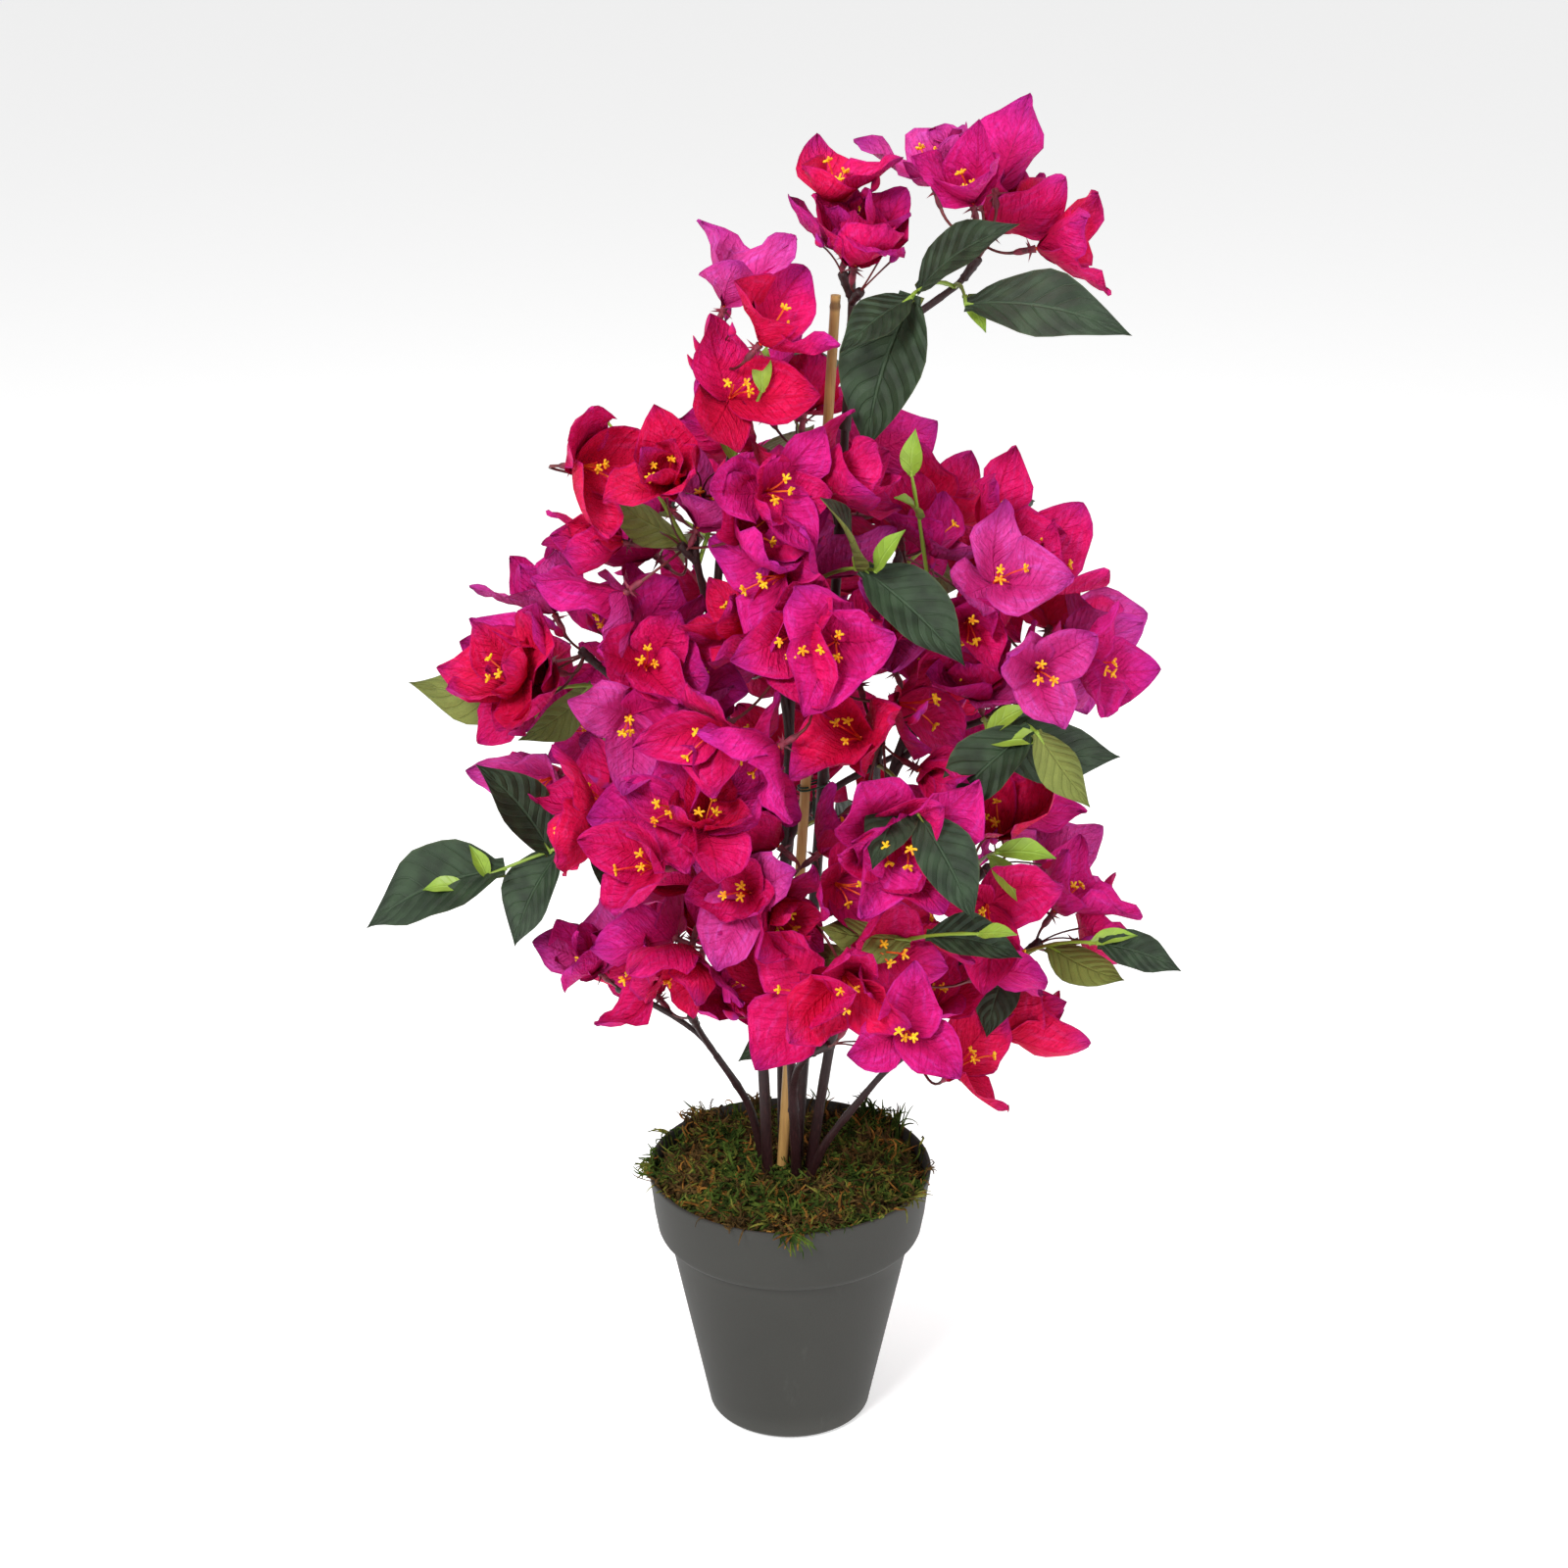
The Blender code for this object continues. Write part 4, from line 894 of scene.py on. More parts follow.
def swung(name, number, plan, leaves):
    """A flower as it stands on its bent wire: turned a little, its bracts longer and clear.

    Of some seeded turns it takes the first that keeps far enough from the leaves, or
    else the one that keeps farthest.
    """
    throat, facing, start_turn, bracts = plan
    bracts = [(turn, opening, length * SPREAD) for turn, opening, length in bracts]
    facing = Vector(TURNED.get((name, number), facing))
    swing = TURNED_SWING if (name, number) in TURNED else SWING
    near = [leaf for leaf in leaves
            if (leaf[0] + leaf[1] * leaf[3] * 0.5 - throat).length < NEAR_LEAF]
    push = Vector()
    for leaf in near:
        gap = leaf_gap(throat, leaf)
        away = leaf[2] if (throat - leaf[0]).dot(leaf[2]) >= 0.0 else -leaf[2]
        if gap < THROAT_ROOM:
            throat = throat + away * (THROAT_ROOM - gap)
        push += away * max(0.0, 1.0 - gap / BRACT_LENGTH)
    rng = random.Random(f"{name} {number} swung")
    best, most = None, -1.0
    for attempt in range(SWINGS):
        stray = Vector((rng.gauss(0, 1), rng.gauss(0, 1), rng.gauss(0, 1))).normalized()
        way = (facing + stray * swing * rng.random() + push * (attempt / SWINGS)).normalized()
        if throat.z < LIFT_BELOW_Z:
            way = Vector((way.x, way.y, max(way.z, LIFT))).normalized()
        tried = (throat, way, start_turn, bracts)
        room = leaf_room(tried, near)
        if room > most:
            best, most = tried, room
        if most >= LEAF_ROOM:
            break
    low = HANG_Z - min(spot.z for spot in bract_spots(best))
    if low > 0.0 and abs(throat.x) < HANG_X and throat.y < 0.0:
        best = (throat + UP * min(low, HANG_MOST),) + best[1:]
    return best


def inner_flowers(name, socket, spray, taken):
    """Smaller flowers deeper in a spray, each at the roomiest of some seeded places."""
    hub, _ = socket
    axis, side, other = axes_of(hub, Vector(spray[0]))
    plans = []
    for number in range(round(spray[2] * sizes().inner_flowers)):
        best, most = None, -1.0
        for attempt in range(INNER_TRIES):
            rng = random.Random(f"{name} {tuple(spray[0])} inner {number} {attempt}")
            lean, turn = math.radians(rng.uniform(15.0, 105.0)), rng.uniform(0.0, math.tau)
            way = axis * math.cos(lean) + (side * math.cos(turn)
                                           + other * math.sin(turn)) * math.sin(lean)
            throat = hub + way * rng.uniform(0.020, 0.036)
            facing = (way + axis * 0.25 + UP * 0.15 + any_way(rng) * 0.35).normalized()
            heart = throat + facing * HEART
            room = min((heart - spot).length for spot in taken)
            if room > most:
                start_turn = rng.uniform(0.0, math.tau)
                bracts = [(start_turn + math.tau * n / 3 + rng.uniform(-0.15, 0.15),
                           math.radians(rng.uniform(34.0, 62.0)),
                           BRACT_LENGTH * rng.uniform(0.85, 1.06)) for n in range(3)]
                best, most = (throat, facing, start_turn, bracts), room
        taken.append(best[0] + best[1] * HEART)
        plans.append(best)
    return plans


@functools.lru_cache(maxsize=None)
def plant():
    """All that the masses carry: stems, sockets, flowers, shoots and leaves."""
    made = {"stems": [], "sockets": [], "flowers": [], "shoots": [], "leaves": []}
    taken, seen = [], []        # the flowers' middles, and the sprays with their sockets
    for name, (parent, height, sprays) in MASSES.items():
        limb = parent if height is None else "bough_" + name
        stems, sockets, fork = mass_stems(limb, sprays)
        made["stems"] += stems
        made["sockets"] += sockets
        for end, leaves in SHOOTS.get(name, []):
            end = Vector(end)
            bend = fork.lerp(end, 0.5) + UP * 0.010
            shoot = bezier(fork, bend, end, 4)
            if not lies_on(solid_of(name), [end], 1):
                continue
            made["shoots"].append((fork, bend, end))
            seated = [seated_leaf(name, shoot, leaf) for leaf in leaves]
            made["leaves"] += [leaf for leaf in seated if leaf]
        seen += [(name, row, socket, spray)
                 for row, (socket, spray) in enumerate(zip(sockets, sprays))]
    obstacles = made["leaves"] + [tie_window()]
    for name, row, socket, spray in seen:
        for number in range(10 * row, 10 * row + spray[2]):
            plan = seated_flower(name, number, socket, spray)
            if plan:
                foot = wire_foot(socket, number % spray[2], spray[2])
                plan = swung(name, number, plan, obstacles)
                made["flowers"].append((foot, plan))
                taken.append(plan[0] + plan[1] * HEART)
    for name, _, socket, spray in seen:
        if spray[2] < FEWEST_ROUND_INNER or spray[0][2] > OPEN_ABOVE_Z:
            continue
        plans = [plan for plan in inner_flowers(name, socket, spray, taken)
                 if leaf_room(plan, obstacles) > 0.5 * LEAF_ROOM
                 and min(spot.z for spot in bract_spots(plan)) > LOWEST_INNER_Z]
        for number, plan in enumerate(plans):
            made["flowers"].append((wire_foot(socket, number + 0.5, max(2, len(plans))), plan))
    return made


# --------------------------------------------------------------------------- pot
POT_SIDES = 128
FOOT_R = 0.0443
FOOT_HEIGHT = 0.0010
BASE_ROUNDING = 0.0035          # radius of the wall's lower edge
COLLAR_ROUNDING = 0.006         # and of the collar's
RIM_ROUNDING = 0.0009


def arc(middle, radius, degrees):
    """Points of (radius, height) on a circle about a middle."""
    return [(middle[0] + radius * math.cos(math.radians(angle)),
             middle[1] + radius * math.sin(math.radians(angle))) for angle in degrees]


def pot_profile():
    """From the middle of the underside, up the outside, over the rim and down the inside."""
    profile = [(0.010, 0.0), (FOOT_R - 0.0005, 0.0), (FOOT_R, 0.0003), (FOOT_R + 0.0002, 0.0010)]
    profile += arc((BASE_R - BASE_ROUNDING, FOOT_HEIGHT + BASE_ROUNDING), BASE_ROUNDING,
                   range(-75, 1, 15))
    foot, top = profile[-1], (BODY_TOP_R, COLLAR_FOOT_Z - 0.0015)
    profile += [tuple(a + (b - a) * share for a, b in zip(foot, top))
                for share in (0.12, 0.3, 0.5, 0.7, 0.9, 1.0)]
    profile += [(BODY_TOP_R + 0.0004, COLLAR_FOOT_Z - 0.0006),
                (BODY_TOP_R + 0.0014, COLLAR_FOOT_Z - 0.0001)]
    profile += arc((COLLAR_FOOT_R + 0.0002 - COLLAR_ROUNDING, COLLAR_FOOT_Z + COLLAR_ROUNDING),
                   COLLAR_ROUNDING, range(-75, 1, 15))
    profile += [(0.0794, 0.1330), (0.0806, 0.1440), (RIM_R - 0.0002, 0.1560),
                (RIM_R, RIM_Z - RIM_ROUNDING)]
    profile += arc((RIM_R - RIM_ROUNDING, RIM_Z - RIM_ROUNDING), RIM_ROUNDING, (30, 60, 90))
    inside = RIM_R - WALL
    return profile + [(inside + 0.0008, RIM_Z), (inside + 0.0002, RIM_Z - 0.0003),
                      (inside, RIM_Z - 0.0010), (inside - 0.0016, 0.1440),
                      (COLLAR_FOOT_R - WALL, COLLAR_FOOT_Z + 0.004), (0.0700, COLLAR_FOOT_Z),
                      (0.0684, COLLAR_FOOT_Z - 0.004), (0.0465, 0.0045), (0.0440, 0.0036),
                      (0.010, 0.0036)]


def pot_finish():
    finish = Finish("pot_moulded_grey", Specular_IOR_Level=0.16)
    spot = finish.place()
    cloud = finish.noise(spot, 14.0, 3.0)
    speckle = finish.noise(spot, 900.0, 2.0)
    _, _, z = finish.parts(spot)
    wear = finish.rise(finish.noise(finish.place((1.0, 1.0, 0.25)), 60.0, 4.0, 0.7), 0.62, 0.80)
    # paler grey over the pot's lowest 2 cm, lighter towards the foot
    lighter_towards_foot = finish.rise(z, 0.02, 0.0) * 0.35
    grey = colours().pot_grey
    pale = shade(grey, 1.30, 0.002)
    colour = finish.coats(shade(grey, 0.82), (cloud, pale), ((speckle - 0.5) * 0.5 + 0.25, pale),
                          (wear * 0.25 + lighter_towards_foot, (0.090, 0.090, 0.082)))
    finish.paint(colour, 0.50 + 0.12 * cloud - 0.10 * wear)
    return finish.relief(speckle * 0.6 + cloud * 0.4, 0.00012, 0.7)


class BOUGAINVILLEA_OT_pot(Operator):
    """Turn the pot with its rounded foot, collar and rim"""
    bl_idname = "bougainvillea.pot"
    bl_label = "Pot"

    def execute(self, context):
        obj = turned("pot_shell", pot_profile(), POT_SIDES)
        finish_piece(obj, pot_finish(), ["pot"], angle=32.0)
        return {"FINISHED"}


# --------------------------------------------------------------------------- moss
CUSHION_R = RIM_R - WALL - 0.0005
CUSHION_SIDES = 160
CUSHION_STEP = 0.0013
MOSS_COLOURS = {                # deep green, olive, brown, rust: dark and light shade
    "moss_green": ((0.016, 0.034, 0.006), (0.095, 0.150, 0.022)),
    "moss_olive": ((0.044, 0.050, 0.008), (0.250, 0.250, 0.045)),
    "moss_brown": ((0.026, 0.016, 0.006), (0.150, 0.090, 0.028)),
    "moss_rust": ((0.120, 0.050, 0.010), (0.380, 0.180, 0.036)),
}
MOSS_HEAPS = (                  # place, height and width of the moss's higher parts
    (-0.066, -0.018, 0.0050, 0.020), (0.048, 0.056, 0.0035, 0.018),
    (0.004, -0.070, 0.0025, 0.020),
)
THICK_MOSS = [                  # places at the rim with more strands, and their spread
    (-0.070, -0.018, 0.012), (0.004, -0.074, 0.010), (0.052, 0.058, 0.010),
    (-0.050, 0.058, 0.010), (0.070, -0.034, 0.009),
]
THICK_SHARE = 0.16              # of the strands that stand there
RUST_SHARE = 0.10
# Tufts that stand up from the moss or hang over the rim: place, number of strands,
# their climb at the foot in degrees, their length, and the moss they are of.
RIM_TUFTS = (
    ((-0.0790, -0.0060), 26, (5, 60), (0.008, 0.014), "moss_olive"),
    ((-0.0780, 0.0000), 16, (5, 60), (0.008, 0.014), "moss_green"),
    ((-0.0010, -0.0785), 22, (0, 30), (0.012, 0.024), "moss_green"),
    ((0.0040, -0.0780), 12, (0, 30), (0.010, 0.018), "moss_rust"),
    ((-0.0700, 0.0350), 5, (15, 50), (0.012, 0.018), "moss_olive"),
    ((-0.0580, 0.0530), 6, (30, 70), (0.010, 0.016), "moss_brown"),
    ((0.0470, 0.0620), 12, (50, 85), (0.014, 0.020), "moss_green"),
    ((0.0640, 0.0440), 14, (50, 85), (0.013, 0.020), "moss_green"),
    ((0.0660, -0.0400), 16, (10, 60), (0.010, 0.015), "moss_olive"),
    ((0.0740, -0.0100), 10, (20, 70), (0.008, 0.014), "moss_brown"),
    ((-0.0200, 0.0740), 14, (20, 70), (0.008, 0.014), "moss_brown"),
)


def moss_height(x, y):
    """The height of the moss at a place in the pot."""
    away = math.hypot(x, y) / CUSHION_R
    crown = MOSS_TOP_Z + 0.0008 - 0.0035 * max(0.0, away - 0.82) / 0.18
    heap = sum(high * math.exp(-((x - at_x) ** 2 + (y - at_y) ** 2) / wide ** 2)
               for at_x, at_y, high, wide in MOSS_HEAPS)
    lumps = (noise.noise(Vector((x, y, 0.1)) * 95.0) * 0.65
             + noise.noise(Vector((x, y, 0.7)) * 260.0) * 0.45)
    return crown + heap + sizes().moss_relief * lumps


def moss_finish(name, dark, light):
    finish = Finish(name, Specular_IOR_Level=0.08)
    patch = finish.noise(finish.place(), 120.0, 4.0, 0.65)
    fibre = finish.noise(finish.place((1.0, 1.0, 0.4)), 1400.0, 2.0)
    colour = finish.coats(dark, (finish.rise(patch, 0.36, 0.66), light), (fibre * 0.4, dark))
    finish.paint(colour, 0.75 + 0.2 * fibre)
    return finish.relief(fibre * 0.6 + patch * 0.4, 0.0004)


def cushion_finish():
    finish = Finish("moss_cushion_mixed", Specular_IOR_Level=0.12)
    spot = finish.place()
    patch = finish.noise(spot, 55.0, 4.0, 0.6)
    tufts = finish.noise(spot, 420.0, 4.0, 0.7)
    green = finish.mix(finish.rise(tufts, 0.35, 0.68), (0.005, 0.010, 0.002), (0.052, 0.070, 0.012))
    brown = finish.mix(finish.rise(tufts, 0.38, 0.66), (0.010, 0.006, 0.002), (0.085, 0.045, 0.012))
    colour = finish.mix(finish.rise(patch, 0.44, 0.58), green, brown)
    finish.paint(colour, 0.80 + 0.15 * tufts)
    return finish.relief(tufts, 0.0015)


def add_spikes(shape, feet, ways, lengths, widths):
    """Thin four-faced needles from their feet along their ways."""
    feet, ways, lengths, widths = rows_of(feet), rows_of(ways), np.array(lengths), np.array(widths)
    hint = hint_for(ways)
    side = unit(hint - ways * (hint * ways).sum(axis=1, keepdims=True))
    other = np.cross(ways, side)
    corners = [feet + (side * math.cos(a) + other * math.sin(a)) * widths[:, None]
               for a in (0.0, math.tau / 3, 2 * math.tau / 3)]
    corners.append(feet + ways * lengths[:, None])
    shape.add(np.stack(corners, axis=1), [[[0, 2, 1], [0, 1, 3], [1, 2, 3], [2, 0, 3]]])


def moss_place(rng):
    """A random spot on the moss: mostly anywhere, sometimes in a tuft at the rim."""
    if rng.random() < THICK_SHARE:
        x, y, spread = rng.choice(THICK_MOSS)
        x += rng.gauss(0.0, spread * 0.6)
        y += rng.gauss(0.0, spread * 0.6)
        keep = min(1.0, CUSHION_R / math.hypot(x, y))
        return x * keep, y * keep
    away = (CUSHION_R - 0.001) * math.sqrt(rng.random())
    turn = rng.uniform(0.0, math.tau)
    return away * math.cos(turn), away * math.sin(turn)


def strand_path(rng, length, points, rise, spot=None, heading=None, bend=0.9):
    """A loose strand that springs from the moss and curls as it goes.

    Over the rim it droops, and it stays outside the pot's wall.
    """
    x, y = moss_place(rng) if spot is None else spot
    spot = Vector((x, y, moss_height(x, y) - 0.0006))
    climb = rng.uniform(*rise)
    turn, dip = rng.uniform(-bend, bend), rng.uniform(-0.45, 0.15)
    if heading is None:
        heading = rng.uniform(0.0, math.tau)
    else:
        turn, dip = turn * 0.35, rng.uniform(-0.40, -0.05)
    path = [spot]
    for _ in range(points - 1):
        way = Vector((math.cos(heading) * math.cos(climb), math.sin(heading) * math.cos(climb),
                      math.sin(climb)))
        spot = spot + way * (length / (points - 1))
        away = math.hypot(spot.x, spot.y)
        if away < CUSHION_R:
            spot.z = max(spot.z, moss_height(spot.x, spot.y) + 0.0002)
        elif away < RIM_R + 0.0006:
            spot.z = max(spot.z, RIM_Z + 0.0005)
        path.append(spot.copy())
        heading += turn
        climb = max(climb + dip, -1.5)
    return path


def moss_kind(rng, spot):
    """Which moss grows at a spot: green and brown in patches, straw here and there."""
    patch = noise.noise(Vector((spot.x, spot.y, 0.3)) * 62.0) + rng.gauss(0.0, 0.17)
    if rng.random() < RUST_SHARE:
        return "moss_rust"
    if patch > 0.11:
        return "moss_brown"
    return "moss_olive" if patch > -0.06 else "moss_green"


class BOUGAINVILLEA_OT_moss(Operator):
    """Lay the moss cushion and its loose strands and feathery sprigs"""
    bl_idname = "bougainvillea.moss"
    bl_label = "Moss"

    def execute(self, context):
        self.cushion()
        shapes = {name: Shape() for name in MOSS_COLOURS}
        self.curls(shapes)
        self.tufts(shapes)
        self.sprigs(shapes)
        for name, (dark, light) in MOSS_COLOURS.items():
            show(name + "_strands", shapes[name], moss_finish(name + "_dry", dark, light))
        return {"FINISHED"}

    def cushion(self):
        below = [(0.010, 0.0040), (0.0450, 0.0040), (0.0672, COLLAR_FOOT_Z - 0.002),
                 (0.0745, COLLAR_FOOT_Z + 0.006), (CUSHION_R - 0.0006, 0.1440)]
        rings = [(CUSHION_R, MOSS_EDGE_Z - 0.002)]
        while rings[-1][0] > 0.003:
            rings.append((rings[-1][0] - CUSHION_STEP, MOSS_EDGE_Z))
        obj = turned("moss_cushion", below + rings, CUSHION_SIDES)
        for vert in obj.data.vertices:
            if vert.co.z > MOSS_EDGE_Z - 0.0001:
                vert.co.z = moss_height(vert.co.x, vert.co.y)
        finish_piece(obj, cushion_finish(), ["moss_bed"], angle=80.0)

    def curls(self, shapes):
        rng = random.Random("moss curls")
        found = {name: [] for name in shapes}
        for _ in range(sizes().moss_curls):
            path = strand_path(rng, rng.uniform(0.006, 0.018), 6, (0.0, 0.9), bend=1.5)
            found[moss_kind(rng, path[0])].append((path, rng.uniform(0.00036, 0.00090)))
        for name, strands in found.items():
            paths, widths = zip(*strands)
            taper = np.array([0.9, 1.1, 0.85, 1.0, 0.7, 0.3])
            add_tubes(shapes[name], paths, np.array(widths)[:, None] * taper, 3)

    def tufts(self, shapes):
        rng = random.Random("moss tufts")
        for (x, y), count, climb, reach, kind in RIM_TUFTS:
            outward = math.atan2(y, x)
            paths, widths = [], []
            for _ in range(count):
                spot = x + rng.gauss(0.0, 0.0022), y + rng.gauss(0.0, 0.0022)
                keep = min(1.0, (CUSHION_R - 0.0004) / math.hypot(*spot))
                rise = [math.radians(angle) for angle in climb]
                paths.append(strand_path(rng, rng.uniform(*reach), 7, rise,
                                         (spot[0] * keep, spot[1] * keep),
                                         outward + rng.gauss(0.0, 0.45)))
                widths.append(rng.uniform(0.00040, 0.00085))
            taper = np.array([1.0, 1.0, 1.05, 0.95, 0.8, 0.6, 0.3])
            add_tubes(shapes[kind], paths, np.array(widths)[:, None] * taper, 4)

    def sprigs(self, shapes):
        rng = random.Random("moss sprigs")
        found = {name: ([], [], [], []) for name in shapes}
        stalks = {name: [] for name in shapes}
        for _ in range(sizes().moss_sprigs):
            path = strand_path(rng, rng.uniform(0.006, 0.012), 5, (0.15, 1.2))
            kind = moss_kind(rng, path[0])
            stalks[kind].append(path)
            feet, ways, lengths, widths = found[kind]
            for step in range(1, 5):
                aim = (path[step] - path[step - 1]).normalized()
                side = aim.cross(UP)
                side = side.normalized() if side.length > 0.01 else Vector((1.0, 0.0, 0.0))
                for sign in (-1, 1):
                    for share in (0.1, 0.6):
                        way = side * sign + aim * 0.9 + UP * rng.uniform(-0.2, 0.4)
                        feet.append(path[step - 1].lerp(path[step], share))
                        ways.append(way.normalized())
                        lengths.append(rng.uniform(0.0018, 0.0034) * (1.15 - step * 0.16))
                        widths.append(rng.uniform(0.00036, 0.00058))
        for name, columns in found.items():
            add_spikes(shapes[name], *columns)
            add_tubes(shapes[name], stalks[name], np.array([1.0, 0.9, 0.8, 0.6, 0.3]) * 0.00034, 3)


# --------------------------------------------------------------------- cane and tie
CANE_SIDES = 24
CANE_STEPS = 24                 # points along the cane, beside those at its nodes
TIE_WIRE_R = 0.00055
TIE_END_R = 0.0005


def cane_finish():
    finish = Finish("cane_bamboo", Specular_IOR_Level=0.45, Coat_Weight=0.15, Coat_Roughness=0.3)
    fibres = finish.noise(finish.place((1.0, 1.0, 0.018)), 2600.0, 3.0, 0.6)
    streaks = finish.noise(finish.place((1.0, 1.0, 0.05)), 420.0, 2.0)
    cloud = finish.noise(finish.place((1.0, 1.0, 0.5)), 40.0, 3.0)
    _, _, z = finish.parts(finish.place())
    rings = (z - GROUND_Z) / CANE_NODE_EVERY
    ring = abs(rings - finish.maths("ROUND", rings))
    node = 1.0 - finish.rise(ring, 0.008, 0.030)
    colour = finish.coats((0.62, 0.38, 0.125), (streaks, (0.40, 0.215, 0.060)),
                          (finish.rise(fibres, 0.50, 0.75) * 0.7, (0.30, 0.15, 0.040)),
                          (finish.rise(cloud, 0.55, 0.75) * 0.45, (0.26, 0.13, 0.040)),
                          (node * 0.75, (0.105, 0.046, 0.016)))
    finish.paint(colour, 0.42 + 0.2 * fibres + 0.1 * node)
    return finish.relief(fibres, 0.00018)


class BOUGAINVILLEA_OT_cane(Operator):
    """Set the bamboo cane with its node rings"""
    bl_idname = "bougainvillea.cane"
    bl_label = "Bamboo Cane"

    def execute(self, context):
        foot, tip = Vector((*CANE_FOOT, GROUND_Z - 0.004)), Vector(CANE_TIP)
        length = (tip - foot).length
        nodes = [n * CANE_NODE_EVERY + 0.004 for n in range(1, 5)]
        places = {0.0, length}
        for node in nodes:
            places |= {node + step for step in (-0.006, -0.003, -0.0015, -0.0006, 0.0, 0.0008,
                                                0.0018, 0.0035, 0.006)}
        places |= {length * n / CANE_STEPS for n in range(1, CANE_STEPS)
                   if all(abs(length * n / CANE_STEPS - node) > 0.009 for node in nodes)}
        places = sorted(places)
        radii = []
        for place in places:
            near = min(nodes, key=lambda node: abs(node - place)) - place
            swell = 0.10 * math.exp(-(near / 0.0014) ** 2) - 0.05 * math.exp(-((near + 0.0022)
                                                                             / 0.0010) ** 2)
            radii.append(CANE_R * (1.0 + swell) * (1.0 - 0.12 * place / length))
        path = [foot.lerp(tip, place / length) for place in places]
        turns = np.arange(CANE_SIDES) * math.tau / CANE_SIDES
        flutes = 1.0 + 0.020 * np.sin(turns * 2 + 0.6) + 0.012 * np.sin(turns * 5)
        shape = Shape()
        add_tubes(shape, [path], [np.array(radii)[:, None] * flutes], CANE_SIDES)
        show("cane_stick", shape, cane_finish(), ["bamboo_cane"], 45.0)
        return {"FINISHED"}


def tie_finish():
    finish = Finish("tie_green_wire", Specular_IOR_Level=0.5)
    cloud = finish.noise(finish.place(), 400.0, 3.0)
    finish.paint(finish.mix(cloud, (0.004, 0.030, 0.012), (0.012, 0.070, 0.030)),
                 0.32 + 0.25 * cloud)
    return finish.relief(cloud, 0.00010)


class BOUGAINVILLEA_OT_tie(Operator):
    """Wind the coated wire round cane and trunk, and twist its ends"""
    bl_idname = "bougainvillea.tie"
    bl_label = "Wire Tie"

    def execute(self, context):
        one = cane_at_tie()
        other, _ = at_height(limb_routes()["trunk"][0], TIE_Z)
        one, other = Vector((one.x, one.y, TIE_Z)), Vector((other.x, other.y, TIE_Z))
        heading = math.atan2(other.y - one.y, other.x - one.x)
        clear = CANE_R + 0.0009
        loop = []
        for lift in (-0.0008, 0.0010):
            for middle, turn in ((other, -90), (one, 90)):
                for step in range(0, 181, 20):
                    angle = heading + math.radians(turn + step)
                    loop.append(middle + Vector((math.cos(angle), math.sin(angle), 0.0)) * clear
                                + UP * (lift + 0.0009 * step / 180.0))
        front = one.lerp(other, 0.5) + Vector((0.0, -clear - 0.0006, 0.0))
        strands = []
        for phase in (0.0, math.pi):
            strands.append([front + Vector((0.0006 * math.cos(phase + 1.5 * k), -0.0011 * k,
                                            0.0006 * math.sin(phase + 1.5 * k) - 0.00022 * k * k))
                            for k in range(9)])
        shape = Shape()
        route = smooth_route(loop, 2)
        add_tubes(shape, [route], [TIE_WIRE_R] * len(route), 8)
        add_tubes(shape, strands, [TIE_END_R] * 9, 8, bulge=0.6)
        show("tie_twist", shape, tie_finish(), ["wire_tie"], 50.0)
        return {"FINISHED"}


# ------------------------------------------------------------------- stems and boughs
LIMB_SIDES = 14
LIMB_STEPS = 5                  # points between two corners of a limb's route


def moulded_finish(name, base, painted_sheen):
    """Moulded plastic bark: dark, with long fine grain and a painted sheen on its lighter ridges.
    """
    finish = Finish(name, Specular_IOR_Level=0.40)
    grain = finish.noise(finish.place((1.0, 1.0, 0.12)), 1500.0, 3.0, 0.6)
    cloud = finish.noise(finish.place(), 60.0, 3.0)
    sheen_ridge = finish.rise(grain, 0.52, 0.72)
    # painted sheen: a lighter reddish colour laid on the grain's ridges
    colour = finish.coats(shade(base, 0.55), (cloud, shade(base, 1.5)), (sheen_ridge * 0.55, painted_sheen))
    finish.paint(colour, 0.26 + 0.28 * grain + 0.10 * cloud)
    return finish.relief(grain * 0.7 + cloud * 0.3, 0.0005)


def limb_surface(seed, route, radii, flare):
    """A limb's smooth path and its ribbed, slightly knotted radii."""
    path = smooth_route(route, LIMB_STEPS)
    count = len(path)
    rng = random.Random(seed)
    turns = np.arange(LIMB_SIDES) * math.tau / LIMB_SIDES
    ribs = 0.05 * np.sin(turns * 3 + rng.uniform(0, 6)) + 0.035 * np.sin(turns * 5
                                                                         + rng.uniform(0, 6))
    surface = np.empty((count, LIMB_SIDES))
    gone = 0.0
    joint = rng.uniform(0.020, 0.045)
    for k, point in enumerate(path):
        if k:
            gone += (point - path[k - 1]).length
        share = k / (count - 1)
        radius = radii[0] + (radii[1] - radii[0]) * share
        knot = 0.14 * math.exp(-(((gone % joint) - joint / 2) / 0.0022) ** 2)
        spread = flare * math.exp(-gone / 0.006)
        wave = 0.03 * math.sin(gone * 210.0 + rng.random() * 0.5)
        surface[k] = radius * (1.0 + ribs * (1.0 + 0.4 * math.sin(gone * 90.0)) + knot + wave
                               + spread)
    return path, surface


